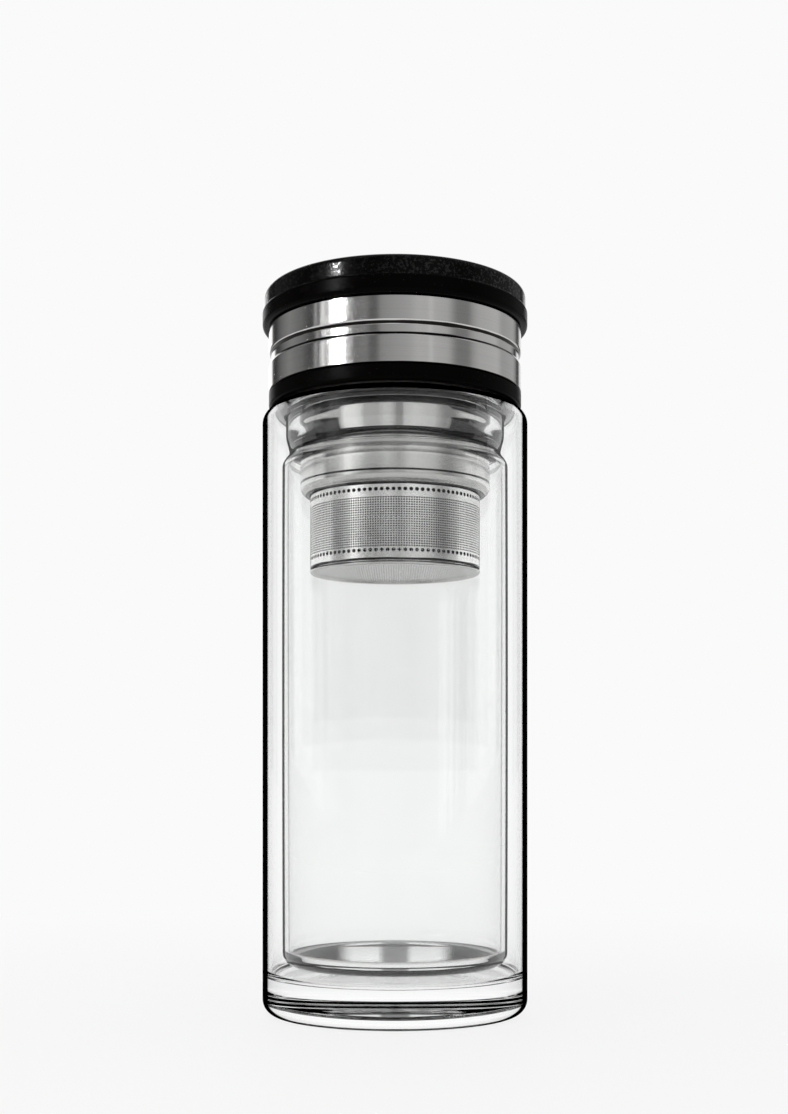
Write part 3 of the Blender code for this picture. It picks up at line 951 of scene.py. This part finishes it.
def makePanMesh(p):
    # the perforated disc, whose stepped edge is hidden between the faces of the pan's flange
    count = 2 * math.ceil((p["meshRadius"] + p["meshPitch"]) / p["meshPitch"])
    height = panLow.z + p["recess"] + p["meshRise"] * p["sheet"]
    bpy.ops.mesh.primitive_grid_add(x_subdivisions=count, y_subdivisions=count, size=count * p["meshPitch"],
                                    location=(0, 0, height))
    disc = bpy.context.object
    disc.name = "strainerPanMesh"
    bpy.ops.object.transform_apply(location=True, rotation=True, scale=True)
    setMode("EDIT")
    bpy.ops.mesh.select_mode(type="FACE")
    setMode("OBJECT")
    cutFaces(disc, lambda away: away > p["meshRadius"] + p["meshOverlap"] * p["meshPitch"])
    cutFaces(disc, lambda away: away < p["meshRadius"] - p["meshPitch"], (p["meshPitch"] - p["meshHole"]) / 2)
    thicken(disc, p["meshSheet"] * p["sheet"], 1)
    deselectAll()
    return disc


panSteel = makeSteel("panSteel", strainerLook, (3200, 24, 24))
strainerPan = makePan(pan)
finishPiece(strainerPan, "strainer", "collar_steel", panSteel, "strainer_bottom")
strainerPanMesh = makePanMesh(pan)
finishPiece(strainerPanMesh, "strainer", "collar_steel", panSteel)
print("strainer done")

# Silicone rings
siliconeLook = {"body": (0.80, 0.80, 0.775), "shade": (0.70, 0.70, 0.67), "roughness": 0.48,
                "markScale": 300.0, "markRough": 0.2, "soft": 0.25}


def makeSilicone(look):
    material, tree, shader = startMaterial("whiteSilicone")
    marks = placeGroup(tree, handledSurface, Mark_Scale=look["markScale"], Amount=1.0)
    colour = mixColour(tree, marks.outputs["Marks"], look["body"], look["shade"])
    colour = mixColour(tree, marks.outputs["Specks"], colour, look["shade"])
    rough = mathNode(tree, "MULTIPLY_ADD", marks.outputs["Marks"], look["markRough"], look["roughness"])
    feed(tree, shader, {"Base Color": colour, "Roughness": rough, "Subsurface Weight": look["soft"],
                        "Subsurface Scale": mm})
    return material


siliconeRing = {"turns": 128, "ribs": 3, "ribDepth": 0.12 * mm, "ribRuns": 18,
                "sealGap": 1.2 * mm,        # bore of the seal over the collar's radius
                "gasketGap": 0.2 * mm}      # and of the gasket over the throat's


def makeRing(name, node, innerRadius, ring):
    # a soft washer with shallow moulded ribs on both faces and a round outer edge
    low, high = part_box(node)
    half = (high.z - low.z) / 2
    middle = (high.z + low.z) / 2
    outer = high.x - half
    inner = innerRadius + half

    def ribbed(start, end, side):
        points = []
        for i in range(1, ring["ribRuns"]):
            share = i / ring["ribRuns"]
            sink = ring["ribDepth"] * swingShare(2 * ring["ribs"] * share)
            points.append((start + (end - start) * share, middle + side * (half - sink)))
        return points

    outline = arcPoints(outer, middle, half, 90, -90, 10)
    outline += ribbed(outer, inner, -1)
    outline += arcPoints(inner, middle, half, 270, 90, 8)
    outline += ribbed(inner, outer, 1)
    outline.append(outline[0])
    return turnOutline(name, outline, ring["turns"], 50)


whiteSilicone = makeSilicone(siliconeLook)
throatRadius = innerHigh.x - glass["neckDraw"] - glass["neckWall"]
collarRadius = throatRadius - collar["collarClearance"]
sealBore = collarRadius + siliconeRing["sealGap"]
sealRing = makeRing("strainerSeal", "strainer_seal_ring", sealBore, siliconeRing)
finishPiece(sealRing, "strainer", "silicone", whiteSilicone, "strainer_seal_ring")
gasketBore = throatRadius + siliconeRing["gasketGap"]
lidGasket = makeRing("lidGasketRing", "lid_gasket", gasketBore, siliconeRing)
finishPiece(lidGasket, "gasket", "silicone", whiteSilicone, "lid_gasket")
print("silicone done")

# Lid
linerLow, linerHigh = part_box("lid_liner_plate")
insertLow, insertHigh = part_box("lid_thread_insert")
bandLow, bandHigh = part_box("lid_steel_band")
capLow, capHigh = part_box("lid_top_cap")

liner = {"turns": 128, "sheet": 0.5 * mm, "dishRadius": 23.2 * mm, "dishDepth": 0.9 * mm,
         "ringRadius": 15.0 * mm, "ringWidth": 2.4 * mm, "ringDepth": 0.25 * mm}


def makeLiner(n):
    top = linerHigh.z
    dish = n["dishRadius"]

    def face(level):
        # from the axis outwards: a flat middle, a pressed ring, the foot of the dish and the flat rim
        points = [(0, level - n["dishDepth"])]
        start = (n["ringRadius"], level - n["dishDepth"])
        for i in range(9):
            share = i / 8
            rise = n["ringDepth"] * swingShare(2 * share)
            points.append((start[0] + n["ringWidth"] * share, start[1] + rise))
        points.append((dish - 2 * n["dishDepth"], level - n["dishDepth"]))
        for i in range(1, 8):
            share = i / 8
            sink = n["dishDepth"] * (1 - swingShare(share))
            points.append((dish - 2 * n["dishDepth"] * (1 - share), level - sink))
        points.append((dish, level))
        return points

    half = n["sheet"] / 2
    outline = face(top) + arcPoints(linerHigh.x - half, top - half, half, 90, -90, 4)
    outline += face(top - n["sheet"])[::-1]
    return turnOutline("linerPlate", outline, n["turns"], 40)


linerSteel = makeSteel("linerSteel", strainerLook, (2600, 30, 30))
linerPlate = makeLiner(liner)
finishPiece(linerPlate, "liner", "plate_steel", linerSteel, "lid_liner_plate")

plasticLook = {
    "black": (0.0016, 0.0014, 0.0013),
    "worn": (0.006, 0.0052, 0.005),
    "dust": (0.04, 0.039, 0.038),
    "ior": 1.49,
    "markScale": 70.0,
    "markAmount": 0.7,
    "markRough": 0.12,
    "rub": (0.52, 0.66),
    "rubRough": 0.1,
    "grainStep": 0.05 * mm,
    "sparkScale": 1400,
    "sparkEdge": (0.53, 0.60),
    "sparkTop": (0.4 * mm, 1.2 * mm),   # depth under the top over which the flecks set in
    "sparkCoat": 0.5,
    "sparkRoughness": 0.08,
}


def makePlastic(name, look, gloss, roughness, grainScale, grainDepth):
    # moulded black plastic: fine spark texture from the mould, faint scuffs and dust
    material, tree, shader = startMaterial(name)
    marks = placeGroup(tree, handledSurface, Mark_Scale=look["markScale"], Amount=look["markAmount"])
    rub = placeGroup(tree, edgeRub, Start=look["rub"][0], End=look["rub"][1]).outputs["Rub"]
    colour = mixColour(tree, rub, look["black"], look["worn"])
    colour = mixColour(tree, marks.outputs["Specks"], colour, look["dust"])
    rough = mathNode(tree, "MULTIPLY_ADD", marks.outputs["Marks"], look["markRough"], roughness)
    rough = mathNode(tree, "MULTIPLY_ADD", rub, look["rubRough"], rough)
    texture = noise(tree, objectPlace(tree), grainScale, 2.0)
    bump = addNode(tree, "ShaderNodeBump", Height=texture, Strength=grainDepth, Distance=look["grainStep"])
    feed(tree, shader, {"Base Color": colour, "Roughness": rough, "Normal": bump.outputs["Normal"],
                        "IOR": look["ior"], "Specular IOR Level": gloss})
    return material


insert = {
    "turns": 144,
    "plate": 2.0 * mm,
    "wall": 1.5 * mm,
    "flangeHeight": 3.9 * mm,
    "flangeFillet": 0.9 * mm,
    "spigotWall": 1.4 * mm,
    "spigotHeight": 2.1 * mm,
    "lead": 0.5 * mm,           # chamfer at the thread's mouth
    "bandInset": 1.5 * mm,      # outside of its wall under the outside of the band
    "soft": 0.25 * mm,
    "threadDrop": 2.5 * mm,     # end of the thread's rings under the plate
    "threadRise": 2.2 * mm,     # start of the thread over the mouth
    "threadRings": 40,
}
insertThread = {
    "pitch": 3.6 * mm,
    "laps": 1.6,
    "taper": 0.12,
    "height": 0.45 * mm,
    "halfWidth": 1.0 * mm,
    "pick": 0.02 * mm,
}


def makeInsert(n, thread):
    flange = insertHigh.x
    shelf = insertLow.z + n["flangeHeight"]
    plateTop = insertHigh.z - n["spigotHeight"]
    plateBottom = plateTop - n["plate"]
    wall = bandHigh.x - n["bandInset"]
    bore = wall - n["wall"]
    spigot = wall - n["spigotWall"]
    soft = n["soft"]
    top = insertHigh.z
    outline = [(0, plateTop), (spigot, plateTop), (spigot, top - soft), (spigot + soft, top)]
    outline += arcPoints(wall - soft, top - soft, soft, 90, 0, 3)
    outline += [(wall, shelf)]
    outline += arcPoints(flange - soft, shelf - soft, soft, 90, 0, 4)
    outline += wallPoints((flange, shelf - soft), (flange, insertLow.z + n["flangeFillet"]))[1:-1]
    fillet = n["flangeFillet"]
    outline += arcPoints(flange - fillet, insertLow.z + fillet, fillet, 0, -90, 8)
    outline += [(bore + n["lead"], insertLow.z), (bore, insertLow.z + n["lead"])]
    threadFoot = (bore, insertLow.z + n["lead"])
    threadTop = (bore, plateBottom - n["threadDrop"])
    outline += straightPoints(threadFoot, threadTop, n["threadRings"]) + [threadTop]
    outline += arcPoints(bore - soft, plateBottom - soft, soft, 0, 90, 3)
    outline += [(0, plateBottom)]
    piece = turnOutline("threadInsert", outline, n["turns"])
    thread["wallRadius"] = bore
    thread["start"] = insertLow.z + n["threadRise"]
    raiseThread(piece, thread, -1)
    return piece


insertPlastic = makePlastic("insertPlastic", plasticLook, 0.015, 0.30, 2600, 0.25)
threadInsert = makeInsert(insert, insertThread)
finishPiece(threadInsert, "lid", "insert_plastic", insertPlastic, "lid_thread_insert")

bandLook = {
    "bright": (0.68, 0.675, 0.665),
    "dull": (0.50, 0.495, 0.49),
    "roughness": 0.09,
    "roughnessSpread": 0.07,
    "lineScale": (9, 9, 9000),
    "lineDepth": 0.25,
    "markScale": 80.0,
    "markAmount": 0.5,
    "markRough": 0.06,
    "rub": None,
    "paintedCreaseShade": (0.012, 0.011, 0.010),    # painted shade in the creases
}
band = {
    "turns": 160,
    "sheet": 0.5 * mm,
    "grooveDrop": 6.0 * mm,
    "grooveHeight": 3.4 * mm,
    "grooveDepth": 0.7 * mm,
    "creaseRadius": 0.28 * mm,
    "bendHeight": 0.9 * mm,     # height of the groove's steps
    "hem": 0.12 * mm,
    "bandShadeHalf": 0.42 * mm,     # half height of the painted shade line in each crease of the groove
}


def makeBand(b):
    radius = bandHigh.x
    grooveTop = bandHigh.z - b["grooveDrop"]
    grooveBottom = grooveTop - b["grooveHeight"]

    def face(x, hem):
        # the rolled groove: a step in at its top and a step back out at its foot
        deep = x - b["grooveDepth"]
        over, upper = (x, grooveTop + b["creaseRadius"]), (deep, grooveTop - b["bendHeight"])
        lower, under = (deep, grooveBottom + b["bendHeight"]), (x, grooveBottom - b["creaseRadius"])
        points = [(x - hem, bandHigh.z)] + wallPoints((x, bandHigh.z - hem), over)
        points += easePoints(over, upper, 10) + wallPoints(upper, lower) + easePoints(lower, under, 10)
        return points + wallPoints(under, (x, bandLow.z + hem)) + [(x - hem, bandLow.z)]

    outline = face(radius, b["hem"]) + face(radius - b["sheet"], 0.0)[::-1]
    outline.append(outline[0])
    return turnOutline("steelBand", outline, b["turns"], 50)


def bandShadeLines(b):
    # painted shade lines: the two creases of the groove and the line under the hem
    half = b["bandShadeHalf"]
    grooveTop = bandHigh.z - b["grooveDrop"]
    return (grooveTop - half, half), (grooveTop - b["grooveHeight"] + half, half), (bandLow.z, 2 * b["hem"])


bandSteel = makeSteel("brushedBandSteel", bandLook, bandLook["lineScale"], bandShadeLines(band))
steelBand = makeBand(band)
finishPiece(steelBand, "lid", "band_steel", bandSteel, "lid_steel_band")

cap = {
    "turns": 160,
    "lipHeight": 4.3 * mm,
    "lipWidth": 0.5 * mm,
    "topFillet": 1.6 * mm,
    "lipFillet": 1.0 * mm,
    "lipStep": 0.3 * mm,        # foot of the wall over the lip
    "lipRound": 0.45 * mm,      # upper edge of the lip
    "lipDrop": 0.5 * mm,
    "lipFinish": 0.1 * mm,      # the lip's duller finish goes up to here over it
    "crown": 2.0 * mm,
    "wall": 2.3 * mm,
    "edgeLand": 2.6 * mm,       # flat ring round the top before its shallow dish
    "dishDepth": 0.35 * mm,
}


def makeCap(c):
    lip = capHigh.x
    radius = lip - c["lipWidth"]
    top = capHigh.z
    foot = capLow.z
    lipTop = foot + c["lipHeight"]
    inner = radius - c["wall"]
    landX = radius - c["topFillet"] - c["edgeLand"]
    outline = [(0, top - c["dishDepth"]), (landX - 2 * c["dishDepth"], top - c["dishDepth"])]
    outline += [(landX - 0.5 * c["dishDepth"], top - 0.25 * c["dishDepth"]), (landX, top)]
    outline += arcPoints(radius - c["topFillet"], top - c["topFillet"], c["topFillet"], 90, 0, 12)
    outline += wallPoints((radius, top - c["topFillet"]), (radius, lipTop + c["lipStep"]))[1:]
    outline += arcPoints(lip - c["lipRound"], lipTop - c["lipDrop"], c["lipRound"], 75, 0, 6)
    outline += wallPoints((lip, lipTop - c["lipDrop"]), (lip, foot + c["lipFillet"]))[1:-1]
    outline += arcPoints(lip - c["lipFillet"], foot + c["lipFillet"], c["lipFillet"], 0, -90, 10)
    outline += [(inner, foot), (inner, top - c["crown"]), (0, top - c["crown"])]
    return turnOutline("topCap", outline, c["turns"], 30)


capPlastic = makePlastic("capPlastic", plasticLook, 0.06, 0.16, 1100, 0.6)
lipPlastic = makePlastic("capLipPlastic", plasticLook, 0.015, 0.25, 2600, 0.25)


def addSparks(material, look):
    # glossy flecks from the mould's spark texture, on the cap's upright wall only: its top is polished
    tree = material.node_tree
    fleck = noise(tree, objectPlace(tree), look["sparkScale"], 2.0, Roughness=0.7)
    top, full = look["sparkTop"]
    flecks = product(tree, spanMask(tree, fleck, *look["sparkEdge"], smooth=True),
                     spanMask(tree, objectHeight(tree), capHigh.z - top, capHigh.z - full), look["sparkCoat"])
    feed(tree, tree.nodes["Principled BSDF"],
         {"Coat Weight": flecks, "Coat Roughness": look["sparkRoughness"]})


addSparks(capPlastic, plasticLook)
topCap = makeCap(cap)
finishPiece(topCap, "lid", "cap_plastic", capPlastic, "lid_top_cap")
lipLimit = capLow.z + cap["lipHeight"] + cap["lipFinish"]
splitFinish(topCap, [lipPlastic], lambda face: int(face.center.z < lipLimit))
print("lid done")

# Studio: a pale floor, soft lamps and a world that shows glass and steel their surroundings
studio = {
    "background": 0.955,
    "ambient": 0.62,
    # panels seen in the steel: degrees round from the camera's side, and brightness
    "leftPanels": [(0, 0.44), (13, 0.36), (16, 0.16), (22, 0.15), (25, 0.28), (36, 0.24), (44, 0.44),
                   (50, 0.48), (51, 1.6), (61, 1.6), (62, 0.3), (65, 0.2), (66, 1.4), (69, 1.4), (70, 0.03),
                   (73, 0.05), (75, 0.7), (76, 0.7), (77, 0.05), (84, 0.10), (92, 0.20), (110, 0.31),
                   (124, 0.2), (136, 0.06), (146, 0.05), (151, 1.5), (180, 1.5)],
    "rightPanels": [(0, 0.44), (12, 0.5), (20, 0.62), (30, 0.6), (32, 0.85), (34, 0.6), (48, 0.56),
                    (54, 0.34), (57, 0.26), (69, 0.26), (73, 0.42), (80, 0.56), (105, 0.64), (112, 0.46),
                    (134, 0.52), (141, 0.3), (145, 0.03), (151, 0.1), (157, 1.0), (180, 1.0)],
    "mirrorBack": (118, 128),   # degrees round, past which glass mirrors the dark end of the studio
    "mirrorDark": 0.01,
    "mirrorGain": 0.25,         # panels as bare glass mirrors them
    "spark": (49, 54.5),        # bright strip high on the left that lights the flecks of the cap
    "sparkHeight": (0.285, 0.295, 0.40, 0.41),
    "sparkFade": 0.003,
    "sparkLevel": 120.0,
    # panels as the steel inside the glass mirrors them
    "steelLeft": [(0, 0.52), (6, 0.76), (12, 0.78), (20, 0.58), (35, 0.60), (42, 1.0), (47, 1.15), (60, 1.15),
                  (66, 0.62), (80, 0.60), (93, 0.46), (103, 0.42), (112, 0.44), (122, 0.62), (141, 0.7),
                  (153, 0.72), (163, 0.5), (170, (0.30, 0.19, 0.15)), (180, 0.05)],
    "steelRight": [(0, 0.52), (2, 0.36), (8, 0.36), (11, 0.70), (23, 0.85), (35, 0.76), (47, 0.68),
                   (55, 0.42), (60, 0.32), (72, 0.34), (80, 0.58), (105, 0.60), (129, 0.58), (141, 0.36),
                   (150, 0.50), (160, 0.42), (168, (0.30, 0.18, 0.14)), (180, 0.05)],
    "steelGain": 1.6,
    # sine of the elevation, and share of the dark, over the panels that the steel mirrors
    "steelShade": [(0.56, 0), (0.58, 1), (0.62, 1), (0.65, 0.25), (0.72, 0.25), (0.78, 1)],
    "steelDark": 0.025,
    # the steel in the neck mirrors a higher part, with a slanted dark card on either side
    "neckHeight": 0.232,
    "neckGain": 0.62,
    "cardSlant": 3.6,
    "cardEdge": (1.38, 1.41),
    "cardFoot": 0.226,
    "cardInner": (0.37, 0.385),
    "steelHeight": 0.15,        # sine of the elevation that parts the steel from the floors of the glass
    "throughLevel": 1.03,       # pale backdrop as seen through the walls of glass
    # the backdrop as the floors of the glass mirror it: degrees from straight behind, and brightness
    "backSpan": 60,
    "mirroredBack": [(0, 0.45), (0.8, 0.48), (1.1, 1.75), (3.2, 1.75), (3.9, 0.9), (4.6, 0.03), (22, 0.03),
                     (26, 1.3), (60, 1.3)],
    # and as the solid base mirrors it
    "baseBack": [(0, 0.25), (3.2, 0.25), (4.2, 0.75), (16, 0.9), (20, 0.5), (26, 1.0), (60, 1.0)],
    # the dark ceiling behind, as glass shows it: sine of the elevation, and share of the dark
    "ceiling": [(0.30, 0.0), (0.36, 1.0), (0.62, 1.0), (0.70, 0.0)],
    "ceilingDark": 0.015,
    "throughGain": 0.8,         # panels in front, as glass shows them
    # ray depths past which light counts as mirrored, and as having crossed all four walls of the tubes
    "mirrored": 0.5,
    "crossed": 7.5,
    "lampHeight": 0.09,
}


def grey(level):
    return (level, level, level)


def rayTests(tree, s):
    path = addNode(tree, "ShaderNodeLightPath").outputs
    bounced = mathNode(tree, "GREATER_THAN", path["Glossy Depth"], s["mirrored"])
    deep = mathNode(tree, "GREATER_THAN", path["Transmission Depth"], s["crossed"])
    return path, bounced, deep


def buildWorld(s):
    world = bpy.data.worlds.new("studioWorld")
    bpy.context.scene.world = world
    world.use_nodes = True
    tree = world.node_tree
    place = addNode(tree, "ShaderNodeTexCoord").outputs["Generated"]
    split = addNode(tree, "ShaderNodeSeparateXYZ", i0=place)
    height = split.outputs["Z"]
    backwards = mathNode(tree, "MULTIPLY", split.outputs["Y"], -1.0)
    azimuth = mathNode(tree, "ARCTAN2", split.outputs["X"], backwards)
    around = mathNode(tree, "MULTIPLY", mathNode(tree, "ABSOLUTE", azimuth), 1 / math.pi)
    onRight = mathNode(tree, "GREATER_THAN", azimuth, 0.0)
    path, bounced, deep = rayTests(tree, s)

    def ring(name, factor=around, reach=180):
        return rampNode(tree, factor, [(angle / reach, level) for angle, level in s[name]])

    def panelRing(left, right):
        return mixColour(tree, onRight, ring(left), ring(right))

    def scaled(colour, gain):
        node = addNode(tree, "ShaderNodeVectorMath", {"operation": "SCALE"}, i0=colour, Scale=s[gain])
        return node.outputs[0]

    def above(name):
        return mathNode(tree, "GREATER_THAN", height, s[name])

    # the steel inside the glass: its panels, fainter in the neck, with a dark card on either side
    steelPanels = scaled(panelRing("steelLeft", "steelRight"), "steelGain")
    slant = mathNode(tree, "MULTIPLY_ADD", height, s["cardSlant"], around)
    card = product(tree, spanMask(tree, slant, *s["cardEdge"]), spanMask(tree, around, *s["cardInner"]),
                   above("cardFoot"))
    steelPanels = mixColour(tree, above("neckHeight"), steelPanels, scaled(steelPanels, "neckGain"))
    shade = mathNode(tree, "MAXIMUM", rampNode(tree, height, s["steelShade"]), card)
    steelPanels = mixColour(tree, shade, steelPanels, grey(s["steelDark"]))
    # what bare glass mirrors: the panels in front, and the dark end of the studio behind
    panels = panelRing("leftPanels", "rightPanels")
    faint = scaled(panels, "mirrorGain")
    behind = spanMask(tree, around, *[angle / 180 for angle in s["mirrorBack"]])
    mirror = mixColour(tree, behind, faint, grey(s["mirrorDark"]))
    # what is seen through glass: the backdrop and the dark ceiling behind, the panels in front
    span = s["backSpan"]
    nearBack = mathNode(tree, "MULTIPLY", mathNode(tree, "SUBTRACT", 1.0, around), 180 / span)
    low, high = [ring(name, nearBack, span) for name in ("baseBack", "mirroredBack")]
    back = mixColour(tree, bounced, grey(s["throughLevel"]), mixColour(tree, deep, low, high))
    back = mixColour(tree, rampNode(tree, height, s["ceiling"]), back, grey(s["ceilingDark"]))
    # inner walls of the glass mirror the panels as faintly as its skin does
    shallow = product(tree, bounced, mathNode(tree, "SUBTRACT", 1.0, deep))
    front = mixColour(tree, shallow, scaled(panels, "throughGain"), faint)
    through = mixColour(tree, mathNode(tree, "LESS_THAN", split.outputs["Y"], 0.0), back, front)
    through = mixColour(tree, product(tree, bounced, deep, above("steelHeight")), through, steelPanels)
    # the steel and plastic outside the glass, with the bright strip that lights the cap's flecks
    start, end = [angle / 180 for angle in s["spark"]]
    strip = ((around, (start - s["sparkFade"], start, end, end + s["sparkFade"])), (height, s["sparkHeight"]))
    sides = [rampNode(tree, factor, list(zip(places, (0, 1, 1, 0)))) for factor, places in strip]
    spark = product(tree, *sides, mathNode(tree, "SUBTRACT", 1.0, onRight))
    bright = mixColour(tree, spark, panels, grey(s["sparkLevel"]))
    glossy = mixColour(tree, path["Is Singular Ray"], bright, mirror)
    colour = mixColour(tree, path["Is Glossy Ray"], grey(s["ambient"]), glossy)
    colour = mixColour(tree, path["Is Transmission Ray"], colour, through)
    colour = mixColour(tree, path["Is Camera Ray"], colour, grey(s["background"]))
    feed(tree, tree.nodes["Background"], {"Color": colour})
    world.cycles.sampling_method = "NONE"


buildWorld(studio)

lamps = [
    # name, azimuth from the camera's side and elevation in degrees, distance, width, height, brightness
    ("stripLamp", -55.5, 21, 0.9, 0.165, 0.42, 5.0),
    ("fillLamp", 32, 25, 1.1, 0.04, 0.5, 0.9),
    ("topLamp", 0, 88, 0.9, 0.7, 0.7, 1.2),
]


def addLamp(name, azimuth, elevation, distance, width, height, brightness):
    turn = math.radians(azimuth)
    tilt = math.radians(elevation)
    place = (distance * math.cos(tilt) * math.sin(turn), -distance * math.cos(tilt) * math.cos(turn),
             studio["lampHeight"] + distance * math.sin(tilt))
    bpy.ops.object.light_add(type="AREA", location=place, rotation=(math.pi / 2 - tilt, 0, turn))
    lamp = bpy.context.object
    lamp.name = name
    lamp.data.shape = "RECTANGLE"
    lamp.data.size = width
    lamp.data.size_y = height
    lamp.data.energy = brightness * math.pi * width * height
    # the panels of the world stand for the lamps in glass and steel
    lamp.visible_glossy = False
    lamp.visible_transmission = False
    deselectAll()


for lampValues in lamps:
    addLamp(*lampValues)

floorLook = {
    "turns": 96,
    "radius": 2.5,
    "colour": (0.92, 0.92, 0.92),
    "cloudScale": 40.0,
    "cloudShade": 0.97,
    "roughness": 0.6,
    "fade": (0.04, 0.35),       # from the axis, where the floor turns into the backdrop
    "glowNear": 0.86,
    "steelGlow": 0.72,          # floor as the pan under the strainer mirrors it
    "drop": 0.05 * mm,
}


def addFloor(look, s):
    bpy.ops.mesh.primitive_circle_add(vertices=look["turns"], radius=look["radius"], fill_type="NGON",
                                      location=(0, 0, -look["drop"]))
    floor = bpy.context.object
    floor.name = "studioFloor"
    material, tree, shader = startMaterial("paleFloor")
    place = objectPlace(tree)
    darker = tuple(part * look["cloudShade"] for part in look["colour"])
    cloud = noise(tree, place, look["cloudScale"], 4.0)
    feed(tree, shader, {"Base Color": mixColour(tree, cloud, darker, look["colour"]),
                        "Roughness": look["roughness"]})
    # the far floor glows like the backdrop, also through glass, and stays dark where bare glass mirrors it
    path, bounced, deep = rayTests(tree, s)
    glow = mixColour(tree, product(tree, bounced, deep), grey(s["throughLevel"]), grey(look["steelGlow"]))
    glow = mixColour(tree, path["Is Transmission Ray"], grey(s["background"]), glow)
    mirrored = product(tree, path["Is Reflection Ray"], path["Is Singular Ray"])
    glow = mixColour(tree, mirrored, glow, grey(s["mirrorDark"]))
    light = addNode(tree, "ShaderNodeEmission", Strength=1.0, Color=glow)
    reach = addNode(tree, "ShaderNodeVectorMath", {"operation": "LENGTH"}, i0=place).outputs["Value"]
    far = spanMask(tree, reach, *look["fade"], smooth=True, low=look["glowNear"])
    mixToSurface(tree, mathNode(tree, "MAXIMUM", far, mirrored), shader.outputs["BSDF"],
                 light.outputs["Emission"])
    floor.data.materials.append(material)
    deselectAll()


addFloor(floorLook, studio)
bpy.context.scene.view_settings.view_transform = "Standard"
print("studio done")
